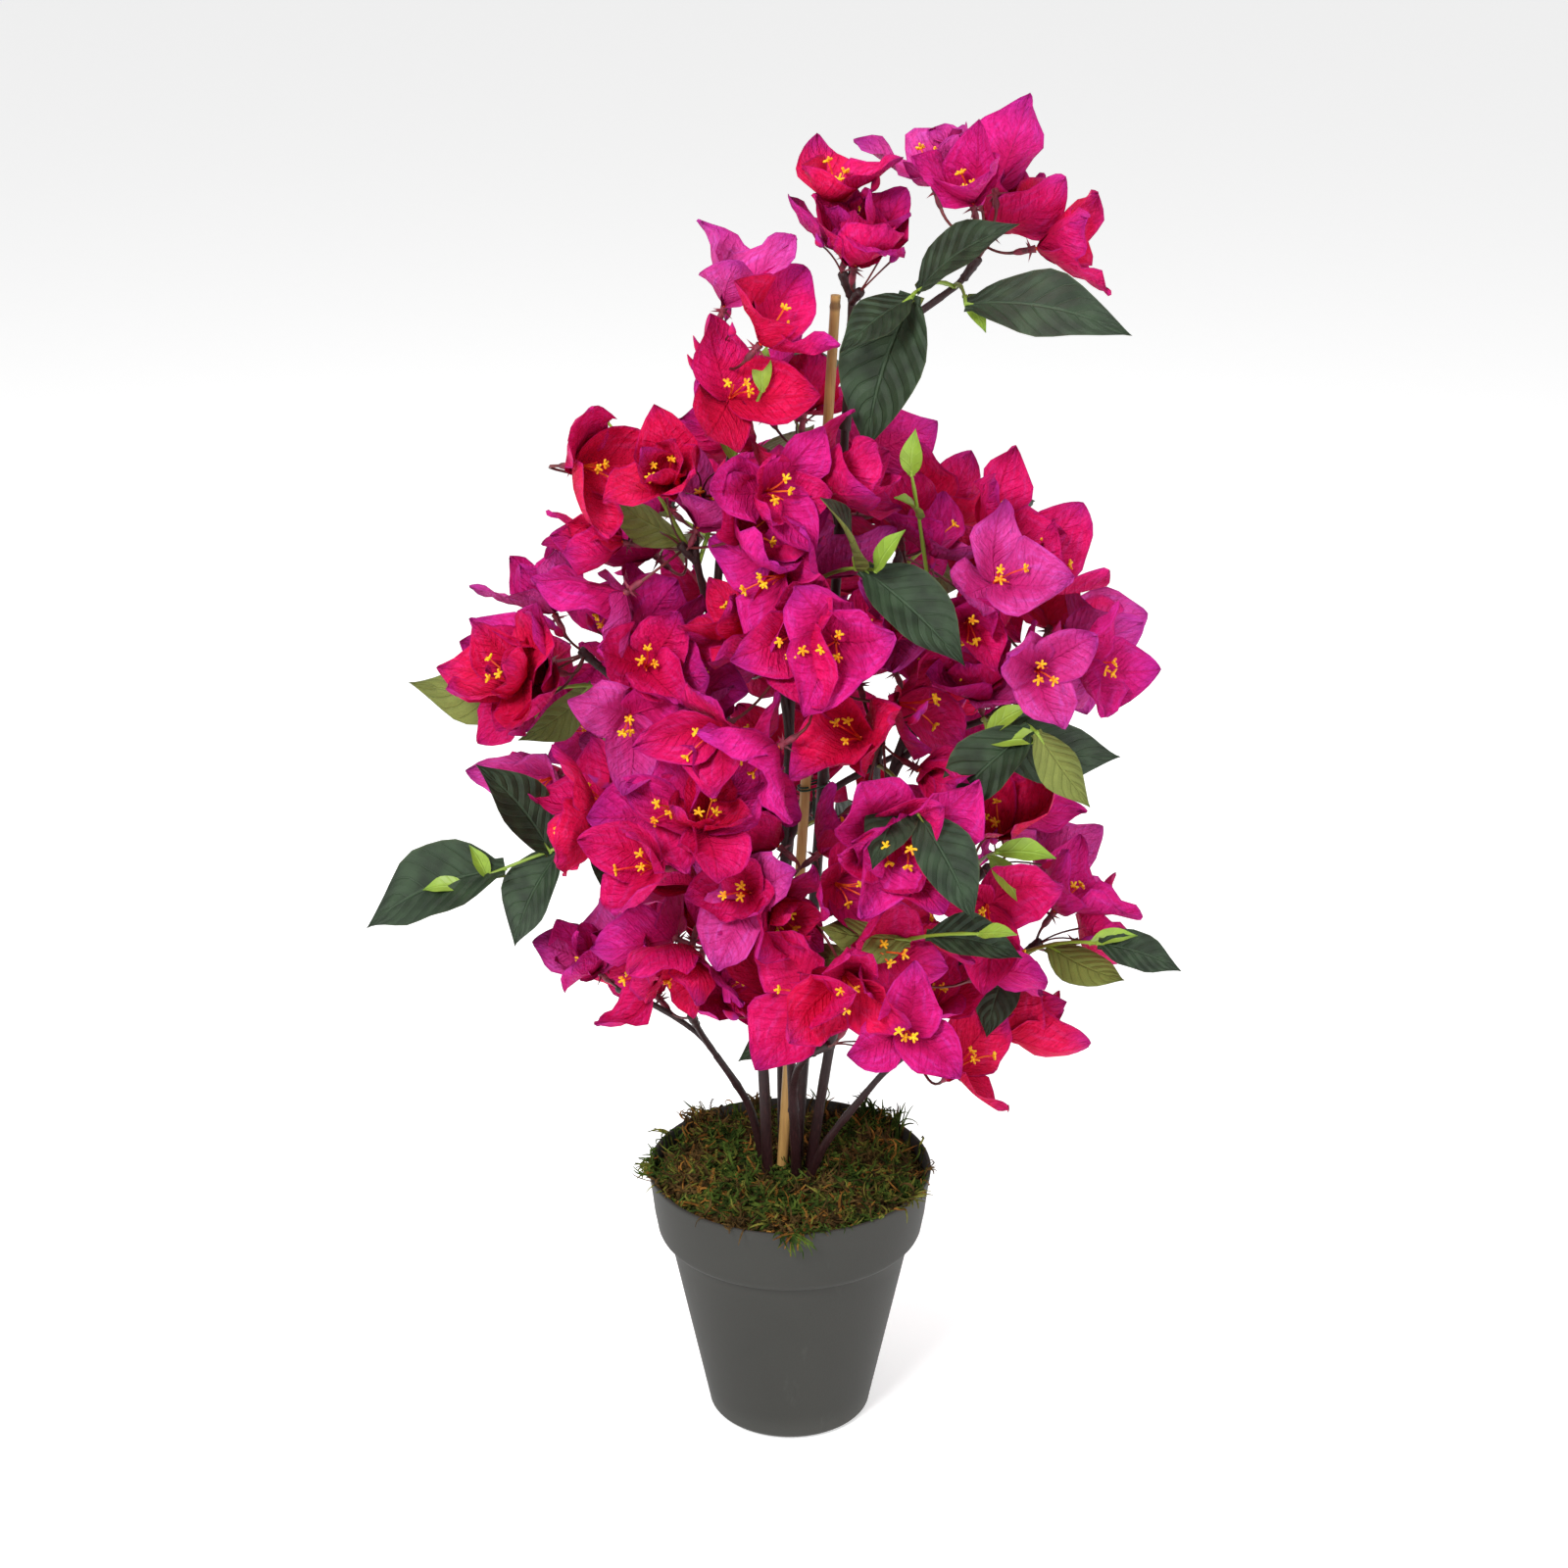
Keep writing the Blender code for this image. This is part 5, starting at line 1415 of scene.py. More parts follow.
class BOUGAINVILLEA_OT_stems(Operator):
    """Mould the stems, and the boughs that leave them"""
    bl_idname = "bougainvillea.stems"
    bl_label = "Stems and Boughs"

    def execute(self, context):
        stems, boughs = Shape(), Shape()
        for name, (route, r_foot, r_tip) in limb_routes().items():
            is_bough = name not in STEMS
            into = (route[1] - route[0]).normalized()
            start = route[0] - into * (0.0022 if is_bough else 0.0040)
            path, surface = limb_surface(name, [start] + route[1:], (r_foot, r_tip),
                                         0.45 if is_bough else 0.25)
            add_tubes(boughs if is_bough else stems, [path], [surface], LIMB_SIDES, bulge=0.3)
        # (0.075, 0.022, 0.022) is the painted sheen on the stems' grain
        finish = moulded_finish("stem_moulded", colours().stem_maroon, (0.075, 0.022, 0.022))
        show("stems", stems, finish, STEMS, 50.0)
        show("boughs", boughs, finish,
             [name for name in limb_routes() if name not in STEMS], 50.0)
        return {"FINISHED"}


# ------------------------------------------------------------ sprays: twigs and wires
SOCKET_SIDES = 10
WIRE_SIDES = 6
BUDS_PER_SPRAY = 2


def wire_line(foot, throat, facing, points):
    """A flower's wire, from its socket to the foot of its calyx."""
    calyx_foot = throat - facing * CALYX_LENGTH
    bend = calyx_foot - facing * (calyx_foot - foot).length * 0.45
    return bezier(foot, bend, calyx_foot + facing * 0.0006, points)


def bud_lines():
    """Short wires with closed buds, from the sockets: path, bud direction and length."""
    lines = []
    for number, (hub, out) in enumerate(plant()["sockets"]):
        rng = random.Random(f"buds {number}")
        for _ in range(BUDS_PER_SPRAY):
            radial = radial_at(out, rng.uniform(0.0, math.tau))
            aim = (out + radial * rng.uniform(0.5, 1.1)).normalized()
            foot = hub - out * 0.002 + radial * SOCKET_R * 0.4
            tip = hub + aim * rng.uniform(0.020, 0.032)
            lines.append((bezier(foot, hub + out * 0.010, tip, 7),
                          (aim + UP * 0.3).normalized(), rng.uniform(0.009, 0.015)))
    return lines


def twig_finish():
    return mottled("wire_coated_red", 0.5, (90.0, 3.0), (1200.0, 2.0), (0.35, 0.65),
                   (0.050, 0.008, 0.010), (0.150, 0.016, 0.020), 0.34, 0.00012,
                   ((0.20, 0.05, 0.04), 0.3))


def calyx_finish():
    return mottled("calyx_dusky", 0.35, (160.0, 3.0), (1500.0, 2.0), (0.38, 0.62),
                   (0.060, 0.008, 0.016), (0.230, 0.020, 0.050), 0.45, 0.00020,
                   ((0.34, 0.09, 0.11), 0.35))


class BOUGAINVILLEA_OT_sprays(Operator):
    """Grow the twigs, their sockets, the flowers' wires and their calyces"""
    bl_idname = "bougainvillea.sprays"
    bl_label = "Sprays"

    def execute(self, context):
        twigs, wires, calyces = Shape(), Shape(), Shape()
        self.stems(twigs)
        self.wires(wires)
        self.calyces(calyces)
        # (0.075, 0.020, 0.020) is the painted sheen on the twigs' grain
        finish = moulded_finish("twig_moulded", colours().stem_maroon, (0.075, 0.020, 0.020))
        show("twigs", twigs, finish, MASSES, 50.0)
        show("flower_wires", wires, twig_finish())
        show("calyces", calyces, calyx_finish(), angle=50.0)
        return {"FINISHED"}

    def stems(self, twigs):
        paths, radii = [], []
        for start, fork, bend, hub, radius in plant()["stems"]:
            curve = bezier(fork, bend, hub, 8)
            into = (fork - start).normalized()
            path = [start - into * 0.0035, start.lerp(fork, 0.5)] + curve
            rng = random.Random(f"twig {hub.x:.4f}")
            paths.append(path)
            radii.append([radius * (1.0 + rng.uniform(-0.06, 0.08)) for _ in path])
        add_tubes(twigs, paths, radii, SOCKET_SIDES)
        sleeves = []
        for hub, out in plant()["sockets"]:
            steps = (-0.0125, -0.0115, -0.0100, -0.0060, -0.0045, -0.0030, -0.0010, 0.0012, 0.0020)
            sleeves.append([hub + out * step for step in steps])
        profile = np.array([0.75, 0.95, 0.82, 0.92, 1.06, 0.94, 1.04, 1.0, 0.7])
        add_tubes(twigs, sleeves, profile * SOCKET_R, SOCKET_SIDES)

    def wires(self, wires):
        lines = [wire_line(foot, plan[0], plan[1], 9) for foot, plan in plant()["flowers"]]
        taper = np.array([1.05, 1.0, 0.95, 0.95, 0.95, 0.95, 1.0, 1.1, 1.25])
        add_tubes(wires, lines, taper * WIRE_R, WIRE_SIDES)
        taper = np.array([1.0, 0.9, 0.8, 0.8, 0.8, 0.85, 1.0]) * 0.8
        add_tubes(wires, [line for line, _, _ in bud_lines()], taper * WIRE_R, WIRE_SIDES)

    def calyces(self, calyces):
        tubes, spikes = [], []
        for _, (throat, facing, start_turn, _) in plant()["flowers"]:
            steps = (0.0, 0.0015, 0.0035, 0.0070, 0.0095, 0.0118)
            base = throat - facing * CALYX_LENGTH
            tubes.append([base + facing * step for step in steps])
            for number in range(5):
                radial = radial_at(facing, start_turn + math.tau * number / 5)
                short = number % 2
                spikes.append((throat - facing * 0.0032 + radial * CALYX_R * 0.7,
                               (radial * 0.9 - facing * (0.1 + 0.25 * short)).normalized(),
                               0.0065 - 0.0012 * short, 0.0009))
        add_tubes(calyces, tubes, np.array([0.45, 0.75, 0.92, 0.80, 0.88, 1.05]) * CALYX_R, 8)
        add_spikes(calyces, *zip(*spikes))


# ------------------------------------------------------------------------ flowers
BUD_R = 0.0022
BUD_SIDES = 9
BRACT_COLUMNS = 4
BRACT_STEPS = np.array([0.0, 0.06, 0.15, 0.26, 0.39, 0.52, 0.65, 0.76, 0.86, 0.93, 0.975])
BRACT_VARIANTS = 3
HUES = {                        # the setting with the colour, and that of throat and veins
    "crimson": (0.54, 0.002, 0.036),
    "rose": (0.54, 0.002, 0.056),
    "magenta": (0.50, 0.004, 0.092),
    "orchid": (0.54, 0.014, 0.165),
}
HUE_SHARES = (0.19, 0.33, 0.31, 0.17)


def bract_finish(name, base, deep, edge):
    """Printed fabric: feather veins, a crinkled weave, purple tips, and painted highlights and
    shade.
    """
    finish = Finish(name, Specular_IOR_Level=0.09)
    along, across, back, variant = finish.blade(BRACT_VARIANTS)
    wide = abs(across)
    spot = finish.vector(along * 44.0, across * 18.0, variant * 31.0 + back * 7.0)
    cloud = finish.noise(spot, 0.085, 3.0)
    crease_spot = finish.vector(along * 44.0 - wide * 17.0, across * 7.0, variant * 17.0)
    crease = finish.noise(crease_spot, 0.30, 4.0, 0.62)
    streak_spot = finish.vector(along * 12.0, across * 18.0 - along * 3.0, variant * 23.0)
    streak = finish.noise(streak_spot, 0.42, 4.0, 0.66)
    crinkle = finish.noise(spot, 0.75, 3.0, 0.60)
    phase = along * 8.5 - wide * 2.6 + cloud * 0.6
    vein = 1.0 - finish.rise(finish.maths("PINGPONG", phase, 0.5), 0.02, 0.12)
    vein = vein * finish.rise(wide, 1.0, 0.55)
    midrib = 1.0 - finish.rise(wide, 0.015, 0.070)
    lines = finish.maths("MAXIMUM", vein * 0.6, midrib)
    tip = finish.rise(along + cloud * 0.5 + variant * 0.11, 1.02, 1.50)
    rim = finish.rise(wide + cloud * 0.12, 0.96, 1.07)
    # throat: deep colour towards the flower's middle, partly print and partly painted shade where
    # the bracts meet
    throat = finish.rise(along + wide * 0.35 - cloud * 0.8, 0.38, -0.20)
    red, green, blue = base
    pale = (min(1.0, red * 1.16 + 0.02), green * 1.5 + 0.012, blue * 1.40 + 0.020)
    # lavender pink of the streaks' ridges, partly print and partly a painted highlight
    streak_pink_and_highlight = (red * 0.96, green * 1.6 + 0.028, blue * 1.55 + 0.065)
    colour = finish.coats(
        base,
        # painted highlight: a paler pink on the ridges of the creases
        (finish.rise(crease, 0.46, 0.70) * 0.75, pale),
        # streaks' ridges: lavender pink print and painted highlight
        (finish.rise(streak, 0.48, 0.66) * 0.60, streak_pink_and_highlight),
        # painted shade: a darker copy of the base colour in the folds of the creases
        (finish.rise(crease, 0.50, 0.28) * 0.60, shade(base, 0.55)),
        # streaks' hollows: deep print colour that also paints shade there
        (finish.rise(streak, 0.48, 0.30) * 0.40, deep),
        (finish.rise(cloud, 0.42, 0.70) * 0.20, deep),
        # deep colour towards the throat: print and painted shade where the bracts meet
        (throat * 0.85, deep),
        (tip * 0.62, edge),
        (rim * 0.45, shade(edge, 0.70)),
        (lines * (0.50 - 0.20 * back), deep),
        # painted shade: a darker copy of the base colour in the crinkles' hollows
        (finish.rise(crinkle, 0.52, 0.34) * 0.30, shade(base, 0.5)))
    finish.paint(colour, 0.52 + 0.20 * crease)
    height = crease * 0.70 + streak * 0.30 + crinkle * 0.25 + lines * 0.20
    return finish.relief(height, 0.0034, 0.95)


def hue_of(rng, throat):
    """A flower's hue: redder about the middle and low down, pinker at the edges and higher up."""
    out = math.hypot(throat.x, throat.y * 0.7) / 0.20
    pull = rng.random() + 0.34 * (out - 0.48) + 0.90 * (throat.z - 0.44)
    for number, share in enumerate(np.cumsum(HUE_SHARES)):
        if pull < share:
            return number
    return len(HUE_SHARES) - 1


@functools.lru_cache(maxsize=None)
def all_bracts():
    """Every bract as (hue, throat, along, across, inner, length, seed)."""
    bracts = []
    for number, (_, (throat, facing, _, ring)) in enumerate(plant()["flowers"]):
        rng = random.Random(f"hue {number}")
        hue = hue_of(rng, throat)
        closed = math.radians(rng.uniform(-4.0, 26.0))
        for turn, opening, length in ring:
            own_opening = opening - closed + math.radians(rng.uniform(-11.0, 11.0))
            along, across, inner = bract_frame(facing, turn, own_opening)
            own = hue if rng.random() < 0.82 else min(3, max(0, hue + rng.choice((-1, 1))))
            bracts.append((own, throat, along, across, inner, length, rng.random()))
        if rng.random() < sizes().double_flowers:
            heart = max(0, hue - rng.choice((0, 1, 2)))
            for turn, opening, length in ring:
                along, across, inner = bract_frame(
                    facing, turn + math.tau / 6 + rng.uniform(-0.15, 0.15),
                    opening - closed - math.radians(rng.uniform(16.0, 32.0)))
                bracts.append((heart, throat + facing * 0.0012, along, across, inner,
                               length * rng.uniform(0.74, 0.90), rng.random()))
    return bracts


def bract_grids(bracts):
    """The fronts of bracts as grids of corners, their tips and their inner sides."""
    draw = draws([bract[6] for bract in bracts], 14)
    throat, along, across, inner = (rows_of([bract[n] for bract in bracts])
                                    for n in (1, 2, 3, 4))
    length = np.array([bract[5] for bract in bracts])[:, None, None]
    s = BRACT_STEPS[None, :, None]
    t = np.linspace(-1.0, 1.0, BRACT_COLUMNS + 1)[None, None, :]
    reach = 0.035 + 0.965 * s
    width = sizes().bract_width * length * (0.90 + 0.22 * draw[0])
    outline = np.sin(math.pi * reach ** (0.80 + 0.14 * draw[1])) ** (
        0.68 + (0.02 + 0.26 * draw[12]) * s)
    half = width * outline
    fold = np.radians(10.0 + 36.0 * draw[2]) * (1.0 - 0.35 * s)
    wave = (0.20 * np.sin(math.tau * (1.0 + 1.2 * draw[3]) * s + math.tau * draw[4]
                          + np.sign(t) * (0.6 + draw[5])) * t ** 2)
    y = t * half * np.cos(fold) * (1.0 - 0.10 * np.abs(t))
    roll = (0.30 - 0.56 * draw[13]) * np.abs(t) ** 4 * np.sin(math.pi * s)
    z = (np.abs(t) ** 1.45) * half * np.sin(fold) + (wave + roll) * half
    twist = (draw[6] - 0.5) * 0.9 * s
    y, z = y * np.cos(twist) - z * np.sin(twist), y * np.sin(twist) + z * np.cos(twist)
    arch = length * ((0.02 - 0.21 * draw[7]) * np.sin(math.pi * s) - BRACT_CURL * s ** 2)
    hook = length * 0.16 * (draw[8] - 0.50) * np.clip((s - 0.60) / 0.40, 0.0, 1.0) ** 2
    sway = length * 0.12 * (draw[9] - 0.5) * np.sin(math.pi * s)
    ruck = length * 0.020 * (np.sin(9.0 * s + 5.0 * t + 6.0 * draw[10])
                             + np.sin(14.0 * s - 7.0 * t + 6.0 * draw[11])) * s
    grids = placed(throat, along, across, inner, s * length + 0.0 * t, y + sway,
                   z + arch + hook + ruck)
    lift = length * (0.16 * (draw[8] - 0.50) - BRACT_CURL)
    return grids, throat + along * length[:, :, 0] + inner * lift[:, :, 0], inner


class BOUGAINVILLEA_OT_bracts(Operator):
    """Make the bracts of printed fabric, each hue a piece of its own"""
    bl_idname = "bougainvillea.bracts"
    bl_label = "Bracts"

    def execute(self, context):
        for number, (hue, deep) in enumerate(HUES.items()):
            bracts = [bract for bract in all_bracts() if bract[0] == number]
            grids, tips, inners = bract_grids(bracts)
            chosen = np.array([int(bract[6] * 997) % BRACT_VARIANTS for bract in bracts])
            shape = Shape()
            add_blades(shape, grids, tips, inners, sizes().cloth_thickness,
                       BRACT_STEPS, BRACT_COLUMNS, BRACT_VARIANTS, chosen)
            name = "bracts_" + hue
            finish = bract_finish(name + "_print", getattr(colours(), hue), deep,
                                  colours().violet)
            show(name, shape, finish)
        self.buds()
        return {"FINISHED"}

    def buds(self):
        shape = Shape()
        paths = []
        for line, aim, length in bud_lines():
            foot = line[-1] - aim * 0.0005
            way = (line[-1] - line[-2]).normalized()
            paths.append(bezier(foot, foot + way * length * 0.4, foot + aim * length, 7))
        plump = np.array([0.35, 0.75, 1.0, 1.0, 0.8, 0.45, 0.12]) * BUD_R
        flutes = 1.0 + 0.16 * np.cos(np.arange(BUD_SIDES) * math.tau / BUD_SIDES * 3)
        add_tubes(shape, paths, [plump[:, None] * flutes] * len(paths), BUD_SIDES)
        finish = mottled("bud_print", 0.25, (120.0, 3.0), (900.0, 3.0), (0.40, 0.62),
                         colours().rose, colours().violet, 0.55, 0.0003,
                         ((0.30, 0.004, 0.05), 0.4))
        show("buds", shape, finish)


# ------------------------------------------------------------------------ stamens
HEADED_THREAD_R = 0.00052
BARE_THREAD_R = 0.00036


def stamen_lines():
    """Each flower's headed stamens and its bare threads, as paths from the throat."""
    headed, bare = [], []
    for number, (_, (throat, facing, start_turn, _)) in enumerate(plant()["flowers"]):
        rng = random.Random(f"stamens {number}")
        for thread in range(5):
            turn = start_turn + math.tau * (thread / 5 + rng.uniform(-0.06, 0.06))
            radial = radial_at(facing, turn)
            long = thread % 2 == 0
            reach = sizes().stamen_length * rng.uniform(0.70, 1.3) * (1.0 if long else 0.6)
            lean = rng.uniform(0.15, 0.45)
            foot = throat - facing * 0.001 + radial * 0.0006
            tip = throat + (facing + radial * lean - UP * 0.08).normalized() * reach
            path = bezier(foot, foot + facing * reach * 0.55, tip, 6)
            (headed if long else bare).append(path)
    return headed, bare


def thread_finish():
    return mottled("stamen_thread_red", 0.45, (130.0, 2.0), (1500.0, 2.0), (0.35, 0.65),
                   (0.70, 0.020, 0.020), (0.85, 0.160, 0.020), 0.40, 0.0001)


def head_finish():
    return mottled("stamen_head_yellow", 0.40, (220.0, 2.0), (1300.0, 3.0), (0.42, 0.70),
                   (0.95, 0.56, 0.010), (0.90, 0.30, 0.008), 0.50, 0.0003,
                   ((0.70, 0.22, 0.01), 0.5, 0.45, 0.25))


class BOUGAINVILLEA_OT_stamens(Operator):
    """Set the stamens: red threads, and yellow heads like small stars"""
    bl_idname = "bougainvillea.stamens"
    bl_label = "Stamens"

    def execute(self, context):
        headed, bare = stamen_lines()
        threads, heads = Shape(), Shape()
        for paths, thick in ((headed, HEADED_THREAD_R), (bare, BARE_THREAD_R)):
            add_tubes(threads, paths, np.array([1.1, 1.0, 0.9, 0.9, 0.9, 1.0]) * thick, 5)
        arms, blobs = [], []
        for number, path in enumerate(headed):
            rng = random.Random(f"head {number}")
            aim = (path[-1] - path[-2]).normalized()
            tip = path[-1]
            blobs.append([tip - aim * 0.0010, tip - aim * 0.0003, tip + aim * 0.0006])
            for arm in range(5):
                radial = radial_at(aim, math.tau * (arm / 5 + rng.uniform(-0.05, 0.05)))
                way = (radial + aim * rng.uniform(-0.1, 0.6)).normalized()
                reach = rng.uniform(0.0020, 0.0032)
                arms.append([tip, tip + way * reach * 0.6, tip + way * reach + aim * 0.0003])
        add_tubes(heads, blobs, [0.0005, 0.0012, 0.0009], 6, bulge=0.4)
        add_tubes(heads, arms, [0.00058, 0.00068, 0.00072], 4, bulge=0.7)
        show("stamen_threads", threads, thread_finish())
        show("stamen_heads", heads, head_finish())
        return {"FINISHED"}


# ------------------------------------------------------------------------- leaves
LEAF_COLUMNS = 6
LEAF_STEPS = np.array([0.0, 0.05, 0.10, 0.17, 0.26, 0.36, 0.46, 0.56, 0.66, 0.75, 0.83, 0.90,
                       0.95, 0.98])
LEAF_VARIANTS = 2
LEAFLET_LENGTH = 0.035          # shorter leaves are moulded leaflets
LEAF_THICKNESS = 0.0005
LEAFLET_THICKNESS = 0.0008
LEAFLET_WIDTH = 0.22            # half of it, as a share of its length
SHOOT_POINTS = 16
STALK_R = 0.0010


def leaf_grids(leaves, width_share, folds):
    """The fronts of leaves as grids of corners, their tips and their upper sides."""
    draw = draws([f"leaf {tuple(leaf[0])}" for leaf in leaves], 8)
    root, along, face = (rows_of([leaf[n] for leaf in leaves]) for n in (0, 1, 2))
    across = np.cross(face, along)
    length = np.array([leaf[3] for leaf in leaves])[:, None, None]
    s = LEAF_STEPS[None, :, None]
    t = np.linspace(-1.0, 1.0, LEAF_COLUMNS + 1)[None, None, :]
    share = np.clip((s - 0.06) / 0.94, 0.0, 1.0)
    outline = np.sin(math.pi * (0.02 + 0.98 * share) ** (0.78 + 0.08 * draw[0])) ** (
        0.66 + 0.60 * share)
    half = width_share * length * (0.92 + 0.16 * draw[1]) * outline + 0.0007 * (1.0 - share)
    fold = np.radians(folds[0] + (folds[1] - folds[0]) * draw[2])
    wave = 0.07 * np.sin(math.tau * (1.6 + draw[3]) * s + math.tau * draw[4]
                         + np.sign(t) * 1.2) * t ** 2
    y = t * half * np.cos(fold)
    z = np.abs(t) ** 1.3 * half * np.sin(fold) + wave * half
    z = z + length * ((0.02 + 0.05 * draw[5]) * np.sin(math.pi * s) - LEAF_CURL * s ** 2)
    y = y + length * 0.08 * (draw[6] - 0.5) * np.sin(math.pi * s)
    grids = placed(root, along, across, face, s * length + 0.0 * t, y, z)
    return grids, root + (along - face * LEAF_CURL) * length[:, :, 0], face


def leaf_finish(top, under, rim):
    finish = Finish("leaf_print", Specular_IOR_Level=0.38)
    along, across, back, variant = finish.blade(LEAF_VARIANTS)
    wide = abs(across)
    spot = finish.vector(along * 75.0, across * 20.0, variant * 31.0 + back * 11.0)
    cloud = finish.noise(spot, 0.06, 3.0)
    cloth = finish.noise(spot, 1.8, 3.0, 0.6)
    phase = along * 7.5 - wide * 1.5 - wide * wide * 0.5 + cloud * 0.25
    saw = finish.maths("PINGPONG", phase, 0.5)
    vein = (1.0 - finish.rise(saw, 0.015, 0.075)) * finish.rise(wide, 1.0, 0.75)
    midrib = 1.0 - finish.rise(wide, 0.02, 0.07)
    lines = finish.maths("MAXIMUM", vein * 0.7, midrib)
    upper = finish.coats(shade(top, 0.60), (finish.rise(cloud, 0.30, 0.70), shade(top, 1.65)),
                         (lines * 0.45, shade(top, 2.4, 0.012)))
    lower = finish.coats(shade(under, 0.70), (cloud, shade(under, 1.25)),
                         (lines * 0.45, shade(under, 1.4)))
    colour = finish.coats(upper, (back, lower),
                          (finish.rise(cloth, 0.45, 0.62) * 0.22, shade(top, 0.5)),
                          # painted highlight: a paler green along the leaf's rim
                          (finish.rise(wide, 0.94, 1.0) * 0.35, rim))
    finish.paint(colour, 0.34 + 0.16 * cloth + 0.20 * back)
    return finish.relief(0.7 * saw + 0.20 * cloth - 0.5 * lines, 0.0030, 0.85)


def leaflet_finish(base):
    finish = Finish("leaflet_moulded", Specular_IOR_Level=0.42)
    along, across, back, variant = finish.blade(LEAF_VARIANTS)
    wide = abs(across)
    spot = finish.vector(along * 25.0, across * 6.0, variant * 19.0 + back * 7.0)
    cloud = finish.noise(spot, 0.16, 3.0)
    phase = along * 5.0 - wide * 1.2
    vein = 1.0 - finish.rise(finish.maths("PINGPONG", phase, 0.5), 0.02, 0.12)
    midrib = 1.0 - finish.rise(wide, 0.03, 0.12)
    lines = finish.maths("MAXIMUM", vein * 0.5, midrib)
    colour = finish.coats(shade(base, 0.72), (cloud, shade(base, 1.35)),
                          (finish.rise(along, 0.6, 1.0) * 0.35, (0.10, 0.24, 0.02)),
                          (lines * 0.35, (0.40, 0.60, 0.11)))
    finish.paint(colour, 0.38 + 0.15 * cloud)
    return finish.relief(lines * 0.6 + cloud * 0.3, 0.0005)


def shoot_finish(base):
    finish = Finish("shoot_moulded", Specular_IOR_Level=0.42)
    spot = finish.place()
    cloud = finish.noise(spot, 70.0, 3.0)
    fine = finish.noise(spot, 900.0, 2.0)
    colour = finish.coats(shade(base, 0.65), (cloud, shade(base, 1.3)),
                          (finish.rise(fine, 0.6, 0.8) * 0.35, (0.09, 0.16, 0.02)))
    finish.paint(colour, 0.36 + 0.18 * fine)
    return finish.relief(fine * 0.5 + cloud * 0.5, 0.0003)


class BOUGAINVILLEA_OT_leaves(Operator):
    """Grow the leaf shoots with their leaves and leaflets"""
    bl_idname = "bougainvillea.leaves"
    bl_label = "Leaves"

    def execute(self, context):
        leaves = [leaf for leaf in plant()["leaves"] if leaf[3] >= LEAFLET_LENGTH]
        small = [leaf for leaf in plant()["leaves"] if leaf[3] < LEAFLET_LENGTH]
        shoot = colours().shoot_green
        self.blades("leaves", leaves, sizes().leaf_width, (6.0, 22.0), LEAF_THICKNESS,
                    # (0.10, 0.13, 0.05) is the painted highlight along the leaves' rims
                    leaf_finish(colours().leaf_green, colours().leaf_back, (0.10, 0.13, 0.05)))
        self.blades("leaflets", small, LEAFLET_WIDTH, (8.0, 30.0), LEAFLET_THICKNESS,
                    leaflet_finish(shoot))
        self.shoots(shoot_finish(shoot))
        return {"FINISHED"}

    def blades(self, name, leaves, width_share, folds, thickness, finish):
        grids, tips, faces = leaf_grids(leaves, width_share, folds)
        chosen = np.arange(len(leaves)) % LEAF_VARIANTS
        shape = Shape()
        add_blades(shape, grids, tips, faces, thickness, LEAF_STEPS, LEAF_COLUMNS,
                   LEAF_VARIANTS, chosen)
        show(name, shape, finish)

    def shoots(self, finish):
        shape = Shape()
        paths = [bezier(fork, bend, end, SHOOT_POINTS) for fork, bend, end in plant()["shoots"]]
        radii = [SHOOT_R * (1.15 - 0.45 * k / (SHOOT_POINTS - 1) + (0.22 if k % 5 == 3 else 0.0))
                 for k in range(SHOOT_POINTS)]
        add_tubes(shape, paths, radii, 8, bulge=0.6)
        stalks = [bezier(root - along * 0.0006, root + along * length * 0.08,
                         root + along * length * 0.16 + face * length * 0.004, 5)
                  for root, along, face, length in plant()["leaves"]]
        add_tubes(shape, stalks, np.array([1.25, 0.9, 0.7, 0.6, 0.3]) * STALK_R, 6)
        show("leaf_shoots", shape, finish, angle=50.0)


# -------------------------------------------------------------------------- stage
CAMERA_PLACE = (-0.0034, -1.518, 0.995)
CAMERA_TILT = 68.5              # degrees from looking straight down
CAMERA_LENS = 67.5              # mm
SENSOR_WIDTH = 36.0             # mm
FLOOR_SIZE = 60.0
FLOOR_GLOW = 0.46
AIR_STRENGTH = 0.44
LIGHTS = {                      # place, size, power, what it aims at
    "key_softbox": ((-0.9, -1.7, 1.9), 0.8, 49.0, (0.0, 0.0, 0.40)),
    "fill_softbox": ((1.6, -1.2, 1.0), 1.4, 14.0, (0.0, 0.0, 0.40)),
    "top_softbox": ((0.1, 0.5, 2.3), 1.2, 18.0, (0.0, 0.0, 0.30)),
}


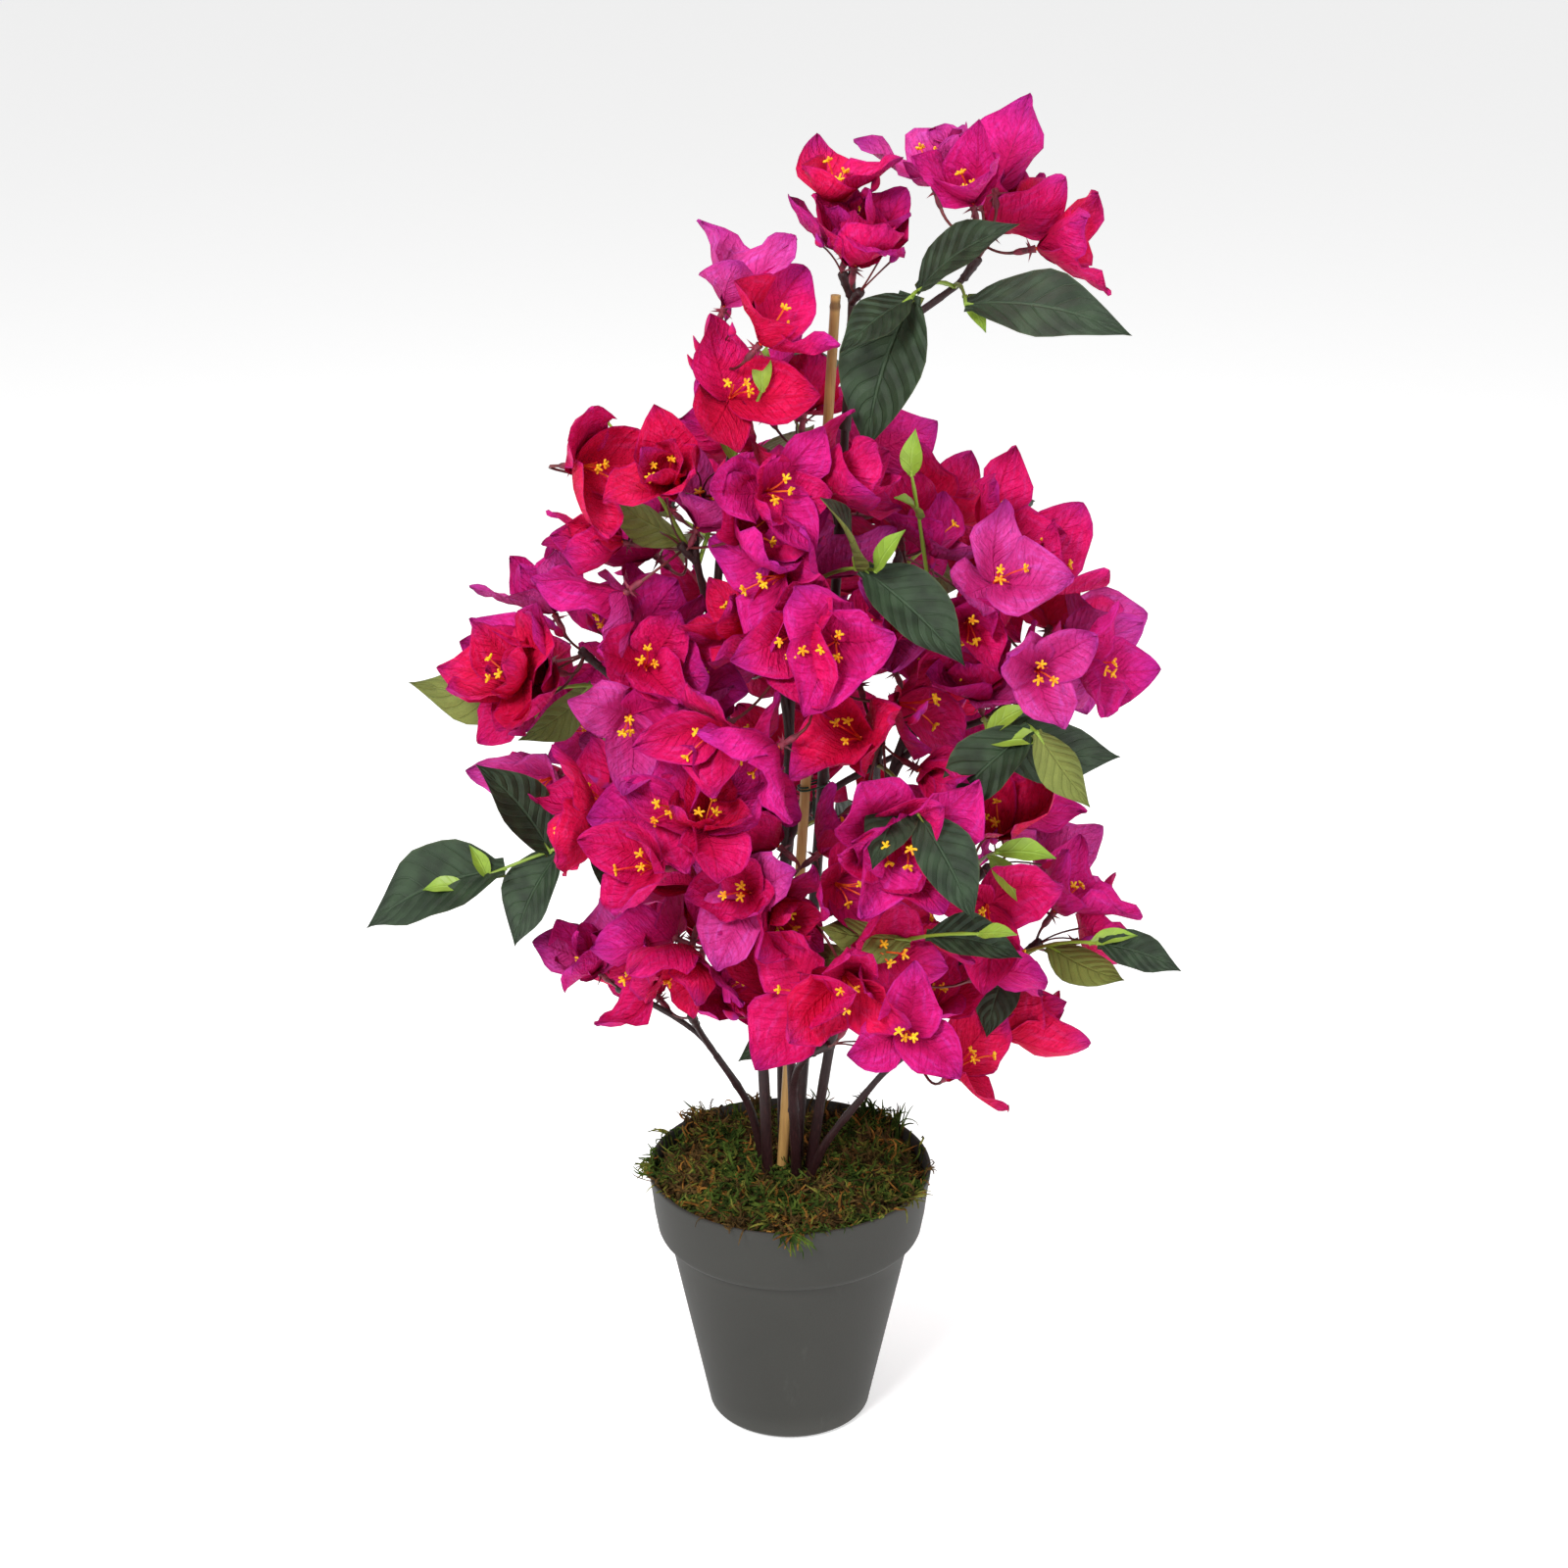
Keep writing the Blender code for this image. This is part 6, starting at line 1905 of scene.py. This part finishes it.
class BOUGAINVILLEA_OT_stage(Operator):
    """Set the floor, the soft lights and the camera"""
    bl_idname = "bougainvillea.stage"
    bl_label = "Stage"

    def execute(self, context):
        deselect()
        bpy.ops.mesh.primitive_plane_add(size=FLOOR_SIZE, location=(0.0, 0.0, 0.0))
        floor = context.object
        floor.name = "studio_floor"
        finish = Finish("studio_paper", Specular_IOR_Level=0.1, Emission_Color=(1.0, 1.0, 1.0),
                        Emission_Strength=FLOOR_GLOW)
        grain = finish.noise(finish.place(), 30.0, 2.0)
        finish.paint(finish.mix(grain, (0.88, 0.88, 0.88), (0.90, 0.90, 0.90)), 0.85 + 0.05 * grain)
        floor.data.materials.append(finish.material)
        for name, (spot, size, power, aim) in LIGHTS.items():
            light = bpy.data.lights.new(name, "AREA")
            light.shape = "DISK"
            light.size = size
            light.energy = power
            lamp = object_of(name, light)
            lamp.location = spot
            lamp.rotation_euler = (Vector(aim) - Vector(spot)).to_track_quat("-Z", "Y").to_euler()
        world = bpy.data.worlds.new("studio_air")
        world.use_nodes = True
        sky = world.node_tree.nodes["Background"]
        sky.inputs["Color"].default_value = (1.0, 1.0, 1.0, 1.0)
        sky.inputs["Strength"].default_value = AIR_STRENGTH
        context.scene.world = world
        context.scene.view_settings.view_transform = "Standard"
        lens = bpy.data.cameras.new("studio_camera")
        lens.lens = CAMERA_LENS
        lens.sensor_width = SENSOR_WIDTH
        camera = object_of("studio_camera", lens)
        camera.location = CAMERA_PLACE
        camera.rotation_euler = (math.radians(CAMERA_TILT), 0.0, 0.0)
        context.scene.camera = camera
        return {"FINISHED"}


# -------------------------------------------------------------------------- add-on
OPERATORS = (
    BOUGAINVILLEA_OT_pot, BOUGAINVILLEA_OT_moss, BOUGAINVILLEA_OT_cane, BOUGAINVILLEA_OT_tie,
    BOUGAINVILLEA_OT_stems, BOUGAINVILLEA_OT_sprays, BOUGAINVILLEA_OT_bracts,
    BOUGAINVILLEA_OT_stamens, BOUGAINVILLEA_OT_leaves, BOUGAINVILLEA_OT_stage,
)


class BOUGAINVILLEA_PT_panel(Panel):
    """Lists the pieces and their settings"""
    bl_label = "Bougainvillea"
    bl_idname = "BOUGAINVILLEA_PT_panel"
    bl_space_type = "VIEW_3D"
    bl_region_type = "UI"
    bl_category = "Bougainvillea"

    def draw(self, context):
        for operator in OPERATORS:
            self.layout.operator(operator.bl_idname)
        for group in (context.scene.bougainvillea_sizes, context.scene.bougainvillea_colours):
            box = self.layout.box()
            for name in group.bl_rna.properties.keys():
                if name not in {"rna_type", "name"}:
                    box.prop(group, name)


CLASSES = (BougainvilleaSizes, BougainvilleaColours, *OPERATORS, BOUGAINVILLEA_PT_panel)


def register():
    for cls in CLASSES:
        bpy.utils.register_class(cls)
    bpy.types.Scene.bougainvillea_sizes = PointerProperty(type=BougainvilleaSizes)
    bpy.types.Scene.bougainvillea_colours = PointerProperty(type=BougainvilleaColours)


def unregister():
    del bpy.types.Scene.bougainvillea_colours
    del bpy.types.Scene.bougainvillea_sizes
    for cls in reversed(CLASSES):
        bpy.utils.unregister_class(cls)


def main():
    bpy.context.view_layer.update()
    register()
    for operator in OPERATORS:
        group, name = operator.bl_idname.split(".")
        getattr(getattr(bpy.ops, group), name)()


if __name__ == "__main__":
    main()
